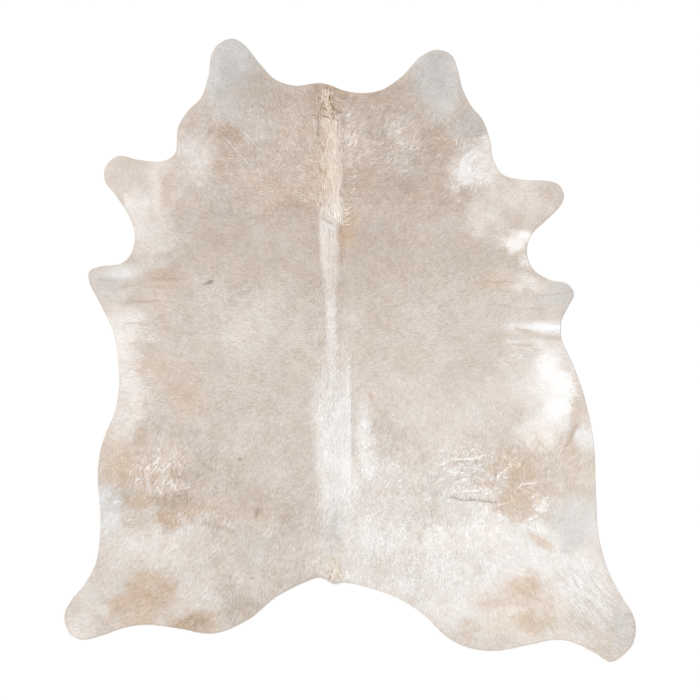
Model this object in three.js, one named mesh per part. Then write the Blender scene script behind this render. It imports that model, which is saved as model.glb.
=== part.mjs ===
// Cowhide rug: one flat piece of hair-on hide, trimmed to the outline of the whole skin.
// Millimetres. +X is the rug's right seen from above, +Y runs along the spine towards the neck,
// +Z is up out of the coat. The origin is under the middle of the rug's box, on the floor.
import * as THREE from 'three';

// Driving dimensions.
const LENGTH = 2515; // neck lobes to hind feet
const SKIN = 2; // tanned skin
const COAT = 3; // hair lying flat on the skin
const EDGE_EASE = 1; // rounding where the knife left the skin and the hair
const EDGE_STEP = 17; // spacing of the points that follow the edge

// The trimmed edge, clockwise seen from above, as a pattern maker would chalk it to the nearest 5 mm:
// one short table for each stretch. across runs from the middle of the box to the right, along from
// the middle to the neck.
const NECK_MARKS = [
  { at: 'left lobe, outer side', across: -570, along: 1100 },
  { at: 'left lobe, outer shoulder', across: -555, along: 1195 },
  { at: 'left lobe, corner', across: -525, along: 1235 },
  { at: 'left lobe, tip', across: -475, along: 1255 },
  { at: 'left lobe, inner shoulder', across: -430, along: 1235 },
  { at: 'left lobe, inner side', across: -360, along: 1150 },
  { at: 'left lobe, inner foot', across: -300, along: 1090 },
  { at: 'left hollow', across: -220, along: 1065 },
  { at: 'crest, bump', across: -110, along: 1075 },
  { at: 'right of the crest', across: -20, along: 1045 },
  { at: 'right hollow', across: 50, along: 1035 },
  { at: 'right lobe, inner foot', across: 135, along: 1050 },
  { at: 'right lobe, inner side', across: 215, along: 1105 },
  { at: 'right lobe, inner shoulder', across: 285, along: 1180 },
  { at: 'right lobe, tip', across: 350, along: 1210 },
  { at: 'right lobe, corner', across: 410, along: 1190 },
  { at: 'right lobe, outer side', across: 435, along: 1135 },
  { at: 'right lobe, outer foot', across: 455, along: 1055 },
];
const RIGHT_FORELEG_MARKS = [
  { at: 'cheek', across: 490, along: 985 },
  { at: 'shoulder, top', across: 535, along: 930 },
  { at: 'shoulder, side', across: 565, along: 850 },
  { at: 'shoulder, foot', across: 580, along: 765 },
  { at: 'foreleg, root', across: 620, along: 705 },
  { at: 'foreleg, upper edge', across: 700, along: 685 },
  { at: 'foreleg, upper swell', across: 800, along: 680 },
  { at: 'foreleg, upper corner', across: 845, along: 665 },
  { at: 'foreleg, tip', across: 865, along: 620 },
  { at: 'foreleg, lower corner', across: 845, along: 575 },
  { at: 'foreleg, lower edge', across: 790, along: 520 },
];
const RIGHT_ELBOW_MARKS = [
  { at: 'armpit, upper side', across: 735, along: 465 },
  { at: 'armpit, bottom', across: 715, along: 400 },
  { at: 'armpit, lower side', across: 740, along: 325 },
  { at: 'elbow, upper edge', across: 810, along: 280 },
  { at: 'elbow, corner', across: 880, along: 265 },
  { at: 'elbow, tip', across: 905, along: 225 },
  { at: 'elbow, lower edge', across: 885, along: 180 },
  { at: 'girth', across: 855, along: 120 },
  { at: 'girth, foot', across: 855, along: 45 },
];
const RIGHT_BELLY_MARKS = [
  { at: 'belly, upper', across: 900, along: -55 },
  { at: 'belly, middle', across: 950, along: -200 },
  { at: 'belly, lower', across: 985, along: -375 },
  { at: 'flank', across: 995, along: -600 },
  { at: 'thigh, top', across: 1005, along: -750 },
  { at: 'thigh, middle', across: 1045, along: -895 },
  { at: 'thigh, lower', across: 1100, along: -1000 },
];
const RIGHT_HIND_FOOT_MARKS = [
  { at: 'foot, upper corner', across: 1145, along: -1075 },
  { at: 'foot, side', across: 1155, along: -1130 },
  { at: 'foot, lower corner', across: 1135, along: -1200 },
  { at: 'foot, heel', across: 1055, along: -1260 },
  { at: 'foot, inner corner', across: 1000, along: -1230 },
  { at: 'leg, inner slope', across: 925, along: -1190 },
  { at: 'leg, hollow', across: 845, along: -1170 },
  { at: 'leg, inner swell', across: 705, along: -1195 },
];
const TAIL_END_MARKS = [
  { at: 'right buttock, outer', across: 595, along: -1215 },
  { at: 'right buttock, bottom', across: 490, along: -1205 },
  { at: 'right buttock, inner', across: 400, along: -1165 },
  { at: 'right crotch, lower', across: 300, along: -1070 },
  { at: 'right crotch, middle', across: 200, along: -1005 },
  { at: 'right crotch, upper', across: 60, along: -955 },
  { at: 'tail root, right', across: -25, along: -940 },
  { at: 'tail nib', across: -65, along: -945 },
  { at: 'tail root, left', across: -115, along: -920 },
  { at: 'left crotch, upper', across: -185, along: -940 },
  { at: 'left crotch, middle', across: -300, along: -1000 },
  { at: 'left crotch, lower', across: -410, along: -1090 },
  { at: 'left buttock, bottom', across: -550, along: -1145 },
];
const LEFT_HIND_FOOT_MARKS = [
  { at: 'buttock, outer', across: -690, along: -1125 },
  { at: 'leg, hollow', across: -825, along: -1110 },
  { at: 'leg, inner swell', across: -920, along: -1125 },
  { at: 'leg, inner slope', across: -1005, along: -1155 },
  { at: 'foot, heel', across: -1085, along: -1170 },
  { at: 'foot, lower corner', across: -1130, along: -1145 },
  { at: 'foot, side', across: -1150, along: -1075 },
  { at: 'foot, upper corner', across: -1120, along: -1010 },
];
const LEFT_BELLY_MARKS = [
  { at: 'thigh, lower', across: -1070, along: -950 },
  { at: 'thigh, middle', across: -1020, along: -850 },
  { at: 'flank, lower', across: -1005, along: -700 },
  { at: 'flank, upper', across: -1015, along: -500 },
  { at: 'belly, lower', across: -1000, along: -390 },
  { at: 'belly, middle', across: -940, along: -225 },
  { at: 'belly, upper', across: -930, along: -90 },
  { at: 'girth', across: -950, along: 65 },
];
const LEFT_ELBOW_MARKS = [
  { at: 'elbow, lower edge', across: -1000, along: 175 },
  { at: 'elbow, tip', across: -1050, along: 275 },
  { at: 'elbow, corner', across: -1050, along: 315 },
  { at: 'elbow, upper edge', across: -1005, along: 335 },
  { at: 'armpit, lower side', across: -925, along: 345 },
  { at: 'armpit, foot', across: -885, along: 380 },
  { at: 'armpit, bottom', across: -865, along: 455 },
  { at: 'armpit, upper side', across: -885, along: 530 },
];
const LEFT_FORELEG_MARKS = [
  { at: 'foreleg, lower edge', across: -940, along: 620 },
  { at: 'foreleg, lower corner', across: -985, along: 680 },
  { at: 'foreleg, tip', across: -985, along: 735 },
  { at: 'foreleg, upper corner', across: -935, along: 780 },
  { at: 'foreleg, upper edge', across: -850, along: 765 },
  { at: 'foreleg, root', across: -755, along: 760 },
  { at: 'shoulder, foot', across: -705, along: 790 },
  { at: 'shoulder, side', across: -690, along: 900 },
  { at: 'shoulder, top', across: -650, along: 965 },
  { at: 'cheek', across: -600, along: 1015 },
];
const EDGE_MARKS = [
  ...NECK_MARKS,
  ...RIGHT_FORELEG_MARKS,
  ...RIGHT_ELBOW_MARKS,
  ...RIGHT_BELLY_MARKS,
  ...RIGHT_HIND_FOOT_MARKS,
  ...TAIL_END_MARKS,
  ...LEFT_HIND_FOOT_MARKS,
  ...LEFT_BELLY_MARKS,
  ...LEFT_ELBOW_MARKS,
  ...LEFT_FORELEG_MARKS,
];

/**
 * The rug's edge as a smooth closed curve through the marks, in even steps,
 * brought to the stated length and centred on its own box.
 */
function edgePoints(marks, length, step) {
  const curve = new THREE.CatmullRomCurve3(
    marks.map(({ across, along }) => new THREE.Vector3(across, along, 0)),
    true,
    'centripetal',
  );
  curve.arcLengthDivisions = marks.length * 40;
  const count = Math.round(curve.getLength() / step);
  const points = curve.getSpacedPoints(count).slice(0, count);
  const box = new THREE.Box3().setFromPoints(points);
  const centre = box.getCenter(new THREE.Vector3());
  const scale = length / box.getSize(new THREE.Vector3()).y;
  return points.map((p) => new THREE.Vector2((p.x - centre.x) * scale, (p.y - centre.y) * scale));
}

/** The flat solid of skin and coat inside an edge, with the cut edge eased top and bottom. */
function hideGeometry(edge, thickness, ease) {
  const geometry = new THREE.ExtrudeGeometry(new THREE.Shape(edge), {
    depth: thickness - 2 * ease,
    bevelEnabled: true,
    bevelThickness: ease,
    bevelSize: ease,
    bevelOffset: -ease,
    bevelSegments: 1,
  });
  geometry.translate(0, 0, ease);
  return geometry;
}

/** The pale hair coat: cream-beige, soft and dull. */
function coatMaterial() {
  return new THREE.MeshStandardMaterial({ color: 0xdbd0c7, roughness: 0.85, metalness: 0 });
}

const hide = new THREE.Mesh(
  hideGeometry(edgePoints(EDGE_MARKS, LENGTH, EDGE_STEP), SKIN + COAT, EDGE_EASE),
  coatMaterial(),
);
hide.name = 'hide';

const rug = new THREE.Group();
rug.name = 'cowhide_rug';
rug.add(hide);

export default rug;
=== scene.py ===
"""A pale cowhide rug, laid flat: one whole hair-on hide with a raised cream crest along the neck.

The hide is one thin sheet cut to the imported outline. Short hair lies over it in regional pieces, longer
wavy locks make the crest, and a small tuft marks the tail. Meshes are in metres, with +Y towards the neck.
Tables are in millimetres from the middle of the rug, and in degrees counter-clockwise from +X.
"""
import sys

import logging
import math
from dataclasses import dataclass
from enum import Enum

import bpy
import numpy as np
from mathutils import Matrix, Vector
from mathutils.geometry import delaunay_2d_cdt


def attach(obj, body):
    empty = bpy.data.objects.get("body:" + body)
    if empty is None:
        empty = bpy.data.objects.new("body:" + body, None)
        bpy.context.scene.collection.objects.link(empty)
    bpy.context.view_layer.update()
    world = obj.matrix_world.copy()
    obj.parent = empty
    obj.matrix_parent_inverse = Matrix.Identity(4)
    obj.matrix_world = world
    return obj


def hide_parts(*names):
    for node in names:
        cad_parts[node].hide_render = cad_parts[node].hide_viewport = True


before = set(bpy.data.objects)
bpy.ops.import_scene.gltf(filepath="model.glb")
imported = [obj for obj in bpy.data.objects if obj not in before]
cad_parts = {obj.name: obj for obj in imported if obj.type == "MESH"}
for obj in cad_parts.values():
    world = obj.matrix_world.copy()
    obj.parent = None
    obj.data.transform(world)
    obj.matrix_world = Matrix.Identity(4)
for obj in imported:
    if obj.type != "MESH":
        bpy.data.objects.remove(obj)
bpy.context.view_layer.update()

LOG = logging.getLogger("cowhide")
Array = np.ndarray
Piece = bpy.types.Object
MM = 0.001
SPINE_X = -0.076
BAKE_MAP = "OFBake"
TONE_ATTRIBUTE = "coat_tone"
LIGHT_LOW, LIGHT_SPAN = 0.45, 0.57
WARMTH_LOW, WARMTH_SPAN = -0.25, 1.90
NECK_FROM, HIND_BELOW = 0.45, -0.36


def ease(start: float, end: float, value: Array) -> Array:
    """Goes smoothly from 0 at start to 1 at end.

    Args:
        start: the value that gives 0.
        end: the value that gives 1.
        value: the values to ease.

    Returns:
        Numbers from 0 to 1.
    """
    share = np.clip((value - start) / (end - start), 0.0, 1.0)
    return share * share * (3.0 - 2.0 * share)


def turned(x: Array, y: Array, across: float, along: float, turn: float) -> tuple[Array, Array]:
    """Measures places on a mark's own axes.

    Args:
        x: places across, in metres.
        y: places along, in metres.
        across: the mark's middle across.
        along: the mark's middle along.
        turn: the heading of the mark's first axis.

    Returns:
        How far each place lies on the mark's two axes, in metres.
    """
    cos, sin = math.cos(math.radians(turn)), math.sin(math.radians(turn))
    dx, dy = x - across * MM, y - along * MM
    return dx * cos + dy * sin, dy * cos - dx * sin


class CoatTone(Enum):
    """The coat's named colours, each as how light it is and how tan it is."""

    CHALK = (0.970, 0.07)
    MILK = (0.930, 0.15)
    IVORY = (0.930, 0.29)
    BUTTER = (0.915, 0.62)
    CREAM = (0.890, 0.70)
    OAT = (0.878, 0.39)
    PEARL = (0.875, 0.10)
    SAND = (0.830, 0.58)
    SMOKE = (0.822, 0.20)
    AMBER = (0.866, 1.15)
    FAWN = (0.838, 0.98)
    DUN = (0.783, 0.73)
    HONEY = (0.800, 1.25)
    TAWNY = (0.780, 0.94)
    ASH = (0.770, 0.18)
    UMBER = (0.750, 0.78)
    WALNUT = (0.722, 1.16)
    BRONZE = (0.660, 1.50)
    BARK = (0.620, 0.80)

    @property
    def light(self) -> float:
        """How light the tone is, where 1 is white."""
        return self.value[0]

    @property
    def warmth(self) -> float:
        """How tan the tone is, where 0 is grey."""
        return self.value[1]


class Oval:
    """What every soft oval on the hide shares."""

    turn = 0.0
    blur = 1.0

    def inside_at(self, x: Array, y: Array) -> Array:
        """Says how far inside the oval each place is.

        Args:
            x: places across, in metres.
            y: places along, in metres.

        Returns:
            1 well inside, 0 well outside.
        """
        u, v = turned(x, y, self.across, self.along, self.turn)
        u, v = u / (self.half_width * MM), v / (self.half_length * MM)
        return ease(1.0 + 0.3 * self.blur, 1.0 - 0.65 * self.blur, np.sqrt(u * u + v * v))


@dataclass(frozen=True)
class Patch(Oval):
    """A soft oval of one tone on the coat."""

    place: str
    tone: CoatTone
    across: float
    along: float
    half_width: float
    half_length: float
    turn: float = 0.0
    share: float = 1.0
    blur: float = 1.0


@dataclass(frozen=True)
class Streak:
    """A narrow mark along an arc, such as a crease or a ridge of hair, with its gains in tone. A crease's
    dark gain is partly painted shade, and a ridge's pale gain is partly painted highlight.

    Unless its warmth is stated, a ridge of hair is greyer than the coat under it.
    """

    place: str
    across: float
    along: float
    heading: float
    length: float
    bend: float
    width: float
    light: float
    warmth: float = -0.25


@dataclass(frozen=True)
class CurlBed:
    """An area where the hair has curled into many small ridges."""

    place: str
    across: float
    along: float
    half_width: float
    half_length: float
    count: int
    light: float
    heading: float
    spread: float


@dataclass(frozen=True)
class StripeRow:
    """The pale stripe down the spine at one height: its two sides, how blurred they are, and its tone."""

    along: float
    left: float
    right: float
    left_blur: float
    right_blur: float
    tone: CoatTone
    share: float


@dataclass(frozen=True)
class LockGroup:
    """One kind of longer lock: where it grows, how it lies and curls, and its tone."""

    place: str
    count: int
    across: float
    half_width: float
    foot: float
    top: float
    heading: float
    fan: float
    stray: float
    bend: float
    length: float
    wave: float
    width: float
    height: float
    rest: float
    slope: float
    tone: CoatTone
    contrast: float


@dataclass(frozen=True)
class CoatCut(Oval):
    """How long, how raised and how mixed the hair is round one place."""

    place: str
    across: float
    along: float
    half_width: float
    half_length: float
    length: float
    lift: float
    mix: float


@dataclass(frozen=True)
class HairRow:
    """Hair headings at one height of the hide, near the spine and far from it.

    Headings are from straight outwards. Left ones are stated as if mirrored to the right.
    """

    along: float
    right_near: float
    right_far: float
    left_near: float
    left_far: float


@dataclass(frozen=True)
class Fold:
    """A low ripple of the whole skin."""

    place: str
    across: float
    along: float
    heading: float
    length: float
    width: float
    height: float


def rows_of(kind: type, *rows: tuple) -> tuple:
    """Makes one object from each row of a table.

    Args:
        kind: the class whose fields are the table's columns.
        rows: the rows.

    Returns:
        The objects.
    """
    return tuple(kind(*row) for row in rows)


T = CoatTone

# Columns: place, tone, across, along, half width, half length, turn, share, blur.
GROUND_PATCHES = rows_of(
    Patch,
    ("neck and shoulders", T.DUN, -100, 745, 1010, 505),
    ("withers", T.DUN, -100, 405, 930, 195, 0, 0.85),
    ("neck edge", T.UMBER, -100, 1040, 445, 80, 0, 0.7),
    ("neck edge, warm", T.TAWNY, -20, 1005, 330, 66, 0, 0.66),
    ("loin, right", T.OAT, 325, -365, 385, 285, 0, 0.5),
    ("rump, right", T.MILK, 485, -870, 605, 345, 0, 0.8),
    ("flank, left", T.DUN, -645, -565, 445, 200, 0, 0.4),
    ("rump, left", T.OAT, -645, -830, 445, 240, 0, 0.7),
    ("rump, middle", T.SAND, -260, -810, 200, 240, 0, 0.6),
)

NECK_PATCHES = rows_of(
    Patch,
    ("left lobe", T.ASH, -490, 1140, 165, 190),
    ("left lobe, rim", T.SMOKE, -560, 1110, 36, 130, -4, 0.8),
    ("left lobe, tip", T.SMOKE, -480, 1195, 60, 50, 0, 0.6),
    ("left lobe, inner side", T.UMBER, -375, 1110, 75, 85, -35, 0.6),
    ("left lobe, foot", T.UMBER, -395, 1015, 130, 50, -12, 0.6),
    ("left cheek, tan", T.WALNUT, -500, 890, 82, 34, 8, 0.75, 0.8),
    ("left cheek, tan inner", T.WALNUT, -468, 880, 34, 30, 8, 0.4, 0.8),
    ("left cheek, grey", T.DUN, -652, 932, 48, 48, 0, 0.7),
    ("left cheek, pale", T.PEARL, -665, 842, 52, 60, 0, 0.55),
    ("left neck, pale", T.OAT, -635, 770, 85, 137, 8, 0.75),
    ("left neck, tan low", T.TAWNY, -490, 775, 73, 90, 0, 0.8),
    ("left neck, grey", T.SMOKE, -355, 910, 65, 57, 0, 0.45),
    ("left neck, shade", T.UMBER, -365, 770, 57, 57, 0, 0.5),
    ("left of the crest, pale", T.FAWN, -245, 870, 80, 105, 0, 0.5),
    ("left neck, warm", T.FAWN, -310, 685, 205, 115, 0, 0.44),
    ("left withers, tan", T.WALNUT, -245, 600, 60, 40, 0, 0.55),
    ("left of the crest, honey", T.HONEY, -160, 665, 32, 175, 0, 0.45),
    ("crest, base", T.CREAM, -77, 745, 46, 265, 0, 0.6, 0.6),
    ("crown", T.WALNUT, -90, 1045, 130, 60, 0, 0.45),
    ("crown, left", T.WALNUT, -138, 1018, 22, 50, 0, 0.7, 0.8),
    ("crown, under", T.BRONZE, -78, 1000, 44, 52, 0, 0.4, 0.7),
    ("crown, right", T.WALNUT, -42, 990, 22, 30, 0, 0.6, 0.7),
    ("crest, step, left", T.TAWNY, -140, 540, 22, 60, 0, 0.7, 0.7),
    ("right of the crest, pale", T.CREAM, 22, 850, 66, 115, 0, 0.6),
    ("right of the crest, warm", T.FAWN, 50, 670, 95, 170, 0, 0.45),
    ("right of the crest, shade", T.TAWNY, -14, 690, 20, 150, 0, 0.5, 0.7),
    ("right of the crest, tan", T.HONEY, -6, 500, 55, 92, 0, 0.8, 0.8),
    ("right neck, pale", T.CREAM, 215, 885, 92, 64, -35, 0.6),
    ("right neck, pale low", T.OAT, 190, 755, 73, 48, 0, 0.45),
    ("right neck, shade", T.UMBER, 235, 685, 130, 52, 5, 0.85),
    ("right neck, tan", T.TAWNY, 350, 840, 72, 92, 20, 1),
    ("right neck, tan, deep", T.WALNUT, 345, 880, 44, 30, 20, 0.45),
    ("right neck, tan low", T.TAWNY, 283, 625, 180, 73, 0, 0.45),
    ("right neck, warm", T.TAWNY, 160, 800, 160, 200, 0, 0.2),
    ("right neck, top", T.UMBER, 240, 1030, 75, 70, 35, 0.6),
    ("right lobe", T.ASH, 372, 1110, 120, 150),
    ("right lobe, foot", T.SMOKE, 350, 985, 57, 73, 0, 0.6),
    ("right lobe, pale edge", T.SMOKE, 420, 1055, 32, 97, -10, 0.5),
    ("right cheek", T.ASH, 493, 905, 73, 80, -30, 0.6),
)

SHOULDER_PATCHES = rows_of(
    Patch,
    # The whitest patches on the right shoulder are partly white hair and partly painted sheen.
    ("right shoulder, tan side", T.TAWNY, 378, 690, 36, 120, 0, 0.8, 0.7),
    ("right shoulder, ivory", T.MILK, 496, 726, 106, 90),
    ("right shoulder, chalk", T.CHALK, 500, 730, 84, 48, 0, 0.5),
    ("right shoulder, outer", T.IVORY, 572, 790, 62, 110, -12, 0.6),
    ("right foreleg, root", T.IVORY, 665, 645, 120, 65, 0, 0.6),
    ("right foreleg, tip", T.SAND, 803, 645, 69, 60, 0, 0.7),
    ("right foreleg, low", T.OAT, 747, 580, 105, 48, 30, 0.7),
    ("right foreleg, smudge", T.TAWNY, 798, 640, 30, 26, 0, 0.55),
    ("right armpit, chalk", T.CHALK, 676, 448, 74, 50, 12, 0.9, 0.8),
    ("right armpit, edge", T.CHALK, 705, 362, 24, 34, 0, 0.7),
    ("right armpit, shade", T.DUN, 668, 352, 16, 44, 0, 0.7),
    ("right shoulder, low", T.OAT, 557, 540, 97, 90, 0, 0.8),
    ("right withers, shade", T.UMBER, 140, 465, 130, 73, 0, 0.5),
    ("right girth, tan", T.FAWN, 573, 285, 105, 36, 0, 0.6),
    ("right elbow, root", T.IVORY, 735, 270, 73, 40, 0, 0.6),
    ("right elbow", T.SMOKE, 853, 240, 80, 60, -20, 0.9),
    ("left shoulder, edge", T.OAT, -808, 585, 120, 240, 0, 0.9),
    ("left foreleg, tip", T.SAND, -930, 705, 97, 90, 0, 0.9),
    ("left foreleg, pale", T.IVORY, -848, 545, 65, 120, 15, 0.6),
    ("left shoulder, line", T.FAWN, -743, 640, 36, 105, 0, 0.6),
    ("left shoulder, low", T.OAT, -747, 455, 73, 97, 0, 0.7),
    ("left elbow, root", T.PEARL, -920, 315, 90, 40, 5, 0.9),
    ("left elbow", T.SMOKE, -1018, 275, 65, 65, 0, 0.6),
    ("left armpit, tan", T.TAWNY, -763, 307, 80, 36, 9, 0.8),
    ("left armpit, smudge", T.TAWNY, -760, 299, 46, 20, 0, 0.8, 0.6),
    ("left armpit, smudge beside", T.TAWNY, -658, 301, 26, 15, 0, 0.7, 0.7),
    ("left armpit, low", T.FAWN, -731, 268, 76, 12, 0, 0.7, 0.7),
    ("left shoulder, band", T.IVORY, -783, 632, 18, 125, 0, 0.45, 0.9),
    ("left shoulder, tan band", T.TAWNY, -735, 655, 24, 70, 0, 0.6),
    ("left girth, tan", T.FAWN, -767, 200, 120, 80, 0, 0.3),
    ("left elbow, grey", T.SMOKE, -960, 250, 90, 60, 0, 0.5),
)

BELLY_PATCHES = rows_of(
    Patch,
    ("left girth, ivory", T.IVORY, -913, 105, 113, 120, 0, 0.8),
    ("left belly, pale", T.IVORY, -913, -140, 97, 265, 0, 0.8),
    ("left belly, tan", T.FAWN, -783, -73, 65, 52, 0, 0.6),
    ("left belly, tan low", T.FAWN, -645, -190, 97, 137, 0, 0.8),
    ("left side, pale", T.OAT, -415, 88, 120, 113, 0, 0.6),
    ("right girth, chalk", T.CHALK, 795, 88, 80, 32, 0, 0.8),
    ("right girth", T.OAT, 747, 100, 120, 100, 0, 0.5),
    ("right belly, chalk", T.CHALK, 810, -155, 137, 250),
    ("right belly, inner", T.OAT, 670, -140, 120, 200, 0, 0.7),
    ("right belly, edge", T.SAND, 938, -205, 58, 185, 3, 0.85),
    ("right belly, edge, tan", T.FAWN, 916, -262, 34, 70, 4, 0.5, 0.8),
    ("right belly, low", T.IVORY, 785, -352, 105, 80, 0, 0.95, 0.7),
    ("right flank, edge", T.CREAM, 885, -500, 135, 105, 0, 0.42),
    ("right belly, edge spot", T.MILK, 950, -360, 44, 66, 0, 0.8, 0.6),
    ("right belly, foot of the crease", T.FAWN, 878, -405, 60, 44, 0, 0.36, 0.9),
)

SPINE_PATCHES = rows_of(
    Patch,
    ("stripe, loin", T.MILK, -48, -560, 80, 200, 0, 0.5),
    ("stripe, rump", T.MILK, 20, -765, 145, 185, 0, 0.55),
    ("right of the stripe, sand", T.SAND, 145, -320, 48, 240, 0, 0.7),
    ("right of the stripe, chalk", T.CHALK, 60, -360, 44, 180, 0, 0.62),
    ("right of the stripe, chalk low", T.MILK, 120, -530, 110, 150, 0, 0.55),
    ("right of the stripe, dun", T.DUN, 90, 160, 57, 200, 0, 0.4),
    ("tail, grey", T.SMOKE, -70, -700, 48, 145, 0, 0.74),
    ("tail, root", T.OAT, -60, -855, 110, 70, 0, 0.55),
)

RIGHT_HIND_PATCHES = rows_of(
    Patch,
    ("flank, tan", T.FAWN, 665, -555, 125, 150, 8, 0.4),
    ("flank, tan upper", T.FAWN, 687, -425, 137, 73, 0, 0.4),
    ("flank, pale", T.OAT, 420, -510, 200, 125, 0, 0.45),
    ("flank, sand", T.SAND, 323, -645, 120, 48, 0, 0.5),
    ("flank, ivory", T.IVORY, 480, -740, 200, 90, 0, 0.7),
    ("flank, chalk spot", T.CHALK, 764, -622, 42, 40, 0, 0.8, 0.7),
    ("flank, chalk foot", T.CHALK, 735, -715, 60, 34, 0, 0.7),
    ("thigh, white", T.MILK, 900, -860, 190, 110, -30, 0.7),
    ("thigh, rim", T.PEARL, 888, -712, 100, 122, 0, 0.75, 0.8),
    ("thigh, grey", T.SMOKE, 896, -722, 76, 96, 0, 0.4, 0.8),
    ("thigh, edge", T.PEARL, 990, -690, 40, 140, 0, 0.5),
    ("leg, outer", T.CHALK, 985, -1000, 90, 160, 40, 0.35),
    ("leg, hem", T.IVORY, 850, -1160, 160, 30, 0, 0.5),
    ("leg, tan, around", T.CREAM, 680, -1030, 190, 130, 0, 0.55),
    ("leg, tan apex", T.FAWN, 741, -917, 34, 52, 25, 0.65, 0.9),
    ("leg, tan", T.HONEY, 706, -985, 78, 52, 28, 0.62, 0.9),
    ("leg, tan arm", T.FAWN, 575, -1021, 86, 22, 6, 0.55, 0.9),
    ("leg, tan low", T.HONEY, 752, -1098, 88, 44, -14, 0.55, 0.9),
    ("leg, tan side", T.FAWN, 795, -1030, 28, 56, 0, 0.55, 0.9),
    ("leg, pale streak", T.IVORY, 668, -1048, 62, 16, -4, 0.7, 0.7),
    ("buttock, tan", T.FAWN, 482, -1140, 40, 52, 0, 0.62, 0.9),
    ("foot", T.SMOKE, 1100, -1120, 84, 110, 0, 0.9),
    ("foot, toe", T.SAND, 1040, -1230, 57, 32, 0, 0.5),
    ("crotch", T.OAT, 200, -890, 160, 90, -20, 0.4),
)

LEFT_HIND_PATCHES = rows_of(
    Patch,
    ("flank, tan edge", T.AMBER, -940, -440, 84, 116, 0, 0.42, 0.8),
    ("flank, tan column", T.HONEY, -908, -450, 36, 92, 0, 0.46, 0.7),
    ("flank, tan fleck", T.HONEY, -838, -332, 30, 20, 0, 0.5, 0.7),
    ("flank, tan line", T.HONEY, -852, -370, 66, 13, 4, 0.6, 0.7),
    ("flank, among the curls", T.CREAM, -770, -490, 155, 120, 0, 0.62),
    ("flank, shade", T.DUN, -600, -500, 65, 73, 0, 0.5),
    ("flank, tan low", T.HONEY, -850, -604, 72, 28, 0, 0.75, 0.7),
    ("flank, honey", T.WALNUT, -711, -604, 96, 34, 4, 0.66, 0.6),
    ("flank, honey inner", T.HONEY, -640, -645, 84, 36, 8, 0.6, 0.8),
    ("flank, drips", T.HONEY, -744, -680, 58, 42, 0, 0.85, 0.6),
    ("flank, tan inner", T.HONEY, -520, -655, 130, 60, 0, 0.35),
    ("flank, brown streak", T.TAWNY, -385, -650, 60, 60, 0, 0.45),
    ("flank, brown mark", T.WALNUT, -376, -652, 11, 28, -20, 0.8, 0.6),
    ("rump, shade", T.DUN, -258, -663, 57, 65, 0, 0.6),
    ("flank, cool edge", T.PEARL, -985, -655, 54, 112, 0, 1, 0.7),
    ("thigh, ring", T.FAWN, -880, -690, 44, 34, 0, 0.18, 0.6),
    ("thigh, pale", T.IVORY, -790, -795, 185, 80, 0, 0.5),
    ("thigh, edge", T.OAT, -965, -800, 65, 100, 0, 0.6),
    ("rump, warm", T.SAND, -493, -848, 97, 137, 0, 0.5),
    ("rump, cool", T.SMOKE, -355, -828, 73, 113, 0, 0.3),
    ("rump, slant", T.DUN, -283, -800, 48, 200, -14, 0.4),
    ("leg, honey", T.HONEY, -816, -975, 108, 94, 0, 0.88),
    ("leg, honey arm", T.HONEY, -935, -1030, 70, 38, 28, 0.75),
    ("leg, honey foot", T.HONEY, -850, -1080, 80, 36, 0, 0.6),
    ("leg, outer", T.OAT, -1040, -980, 80, 110, -30, 0.8),
    ("foot", T.IVORY, -1090, -1123, 90, 73, 0, 0.5),
    ("hem, tan", T.HONEY, -634, -1096, 100, 58, 0, 0.9, 0.9),
    ("hem, brown", T.WALNUT, -628, -1098, 66, 38, 0, 0.84, 0.9),
    ("hem, outer", T.FAWN, -850, -1110, 110, 22, 4, 0.5),
    ("buttock, grey", T.DUN, -490, -990, 100, 100, 0, 0.6),
    ("buttock", T.UMBER, -430, -1015, 95, 62, -20, 0.74),
    ("leg, inner", T.OAT, -680, -960, 80, 60, 0, 0.7),
)

SMALL_SPOTS = rows_of(
    Patch,
    ("back, dark spot", T.BARK, -563, 276, 16, 9, 25, 1, 0.2),
    ("back, dark spot, tail", T.BARK, -582, 269, 14, 5, 20, 0.9, 0.3),
    ("flank, dot", T.BARK, -446, -438, 7, 8, 0, 1, 0.1),
    ("buttock, dot", T.BARK, -396, -918, 6, 7, 0, 0.8, 0.1),
    ("loin, dot", T.HONEY, 81, -181, 10, 12, 0, 0.6, 0.3),
    ("back, dot", T.TAWNY, -198, 303, 20, 15, 0, 0.85, 0.5),
    ("back, slant", T.TAWNY, -440, 475, 9, 36, -30, 0.6, 0.4),
    ("back, smudge", T.TAWNY, -337, 404, 13, 26, 0, 0.6, 0.5),
    ("right rump, dot", T.TAWNY, 282, -745, 15, 28, 0, 0.6),
)

FLANK_ISLANDS = rows_of(
    Patch,
    ("island, upper", T.FAWN, 668, -508, 80, 58, 0, 0.8, 0.3),
    ("island, upper, deep", T.TAWNY, 680, -510, 60, 40, 0, 0.22, 0.6),
    ("island, lower", T.FAWN, 662, -652, 76, 56, -12, 0.54, 0.3),
    ("island, lower, deep", T.TAWNY, 672, -640, 44, 34, -12, 0.1, 0.6),
    ("island, waist", T.FAWN, 640, -578, 42, 28, 0, 0.75, 0.5),
    ("island, upper small", T.FAWN, 579, -476, 26, 25, 0, 0.7, 0.4),
    ("island, long", T.FAWN, 548, -541, 50, 14, 5, 0.8, 0.4),
    ("island, right", T.FAWN, 757, -584, 18, 46, 0, 0.5, 0.4),
    ("island, right low", T.FAWN, 783, -671, 26, 11, 0, 0.6, 0.4),
    ("island, slant", T.FAWN, 766, -769, 66, 18, -36, 0.66, 0.6),
    ("left island, pit", T.HONEY, -797, -522, 18, 24, 0, 0.7, 0.4),
    ("left island, arc", T.TAWNY, -689, -496, 40, 30, -20, 0.7, 0.4),
    ("left island, inner", T.FAWN, -603, -548, 34, 30, 0, 0.6, 0.5),
)
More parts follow.
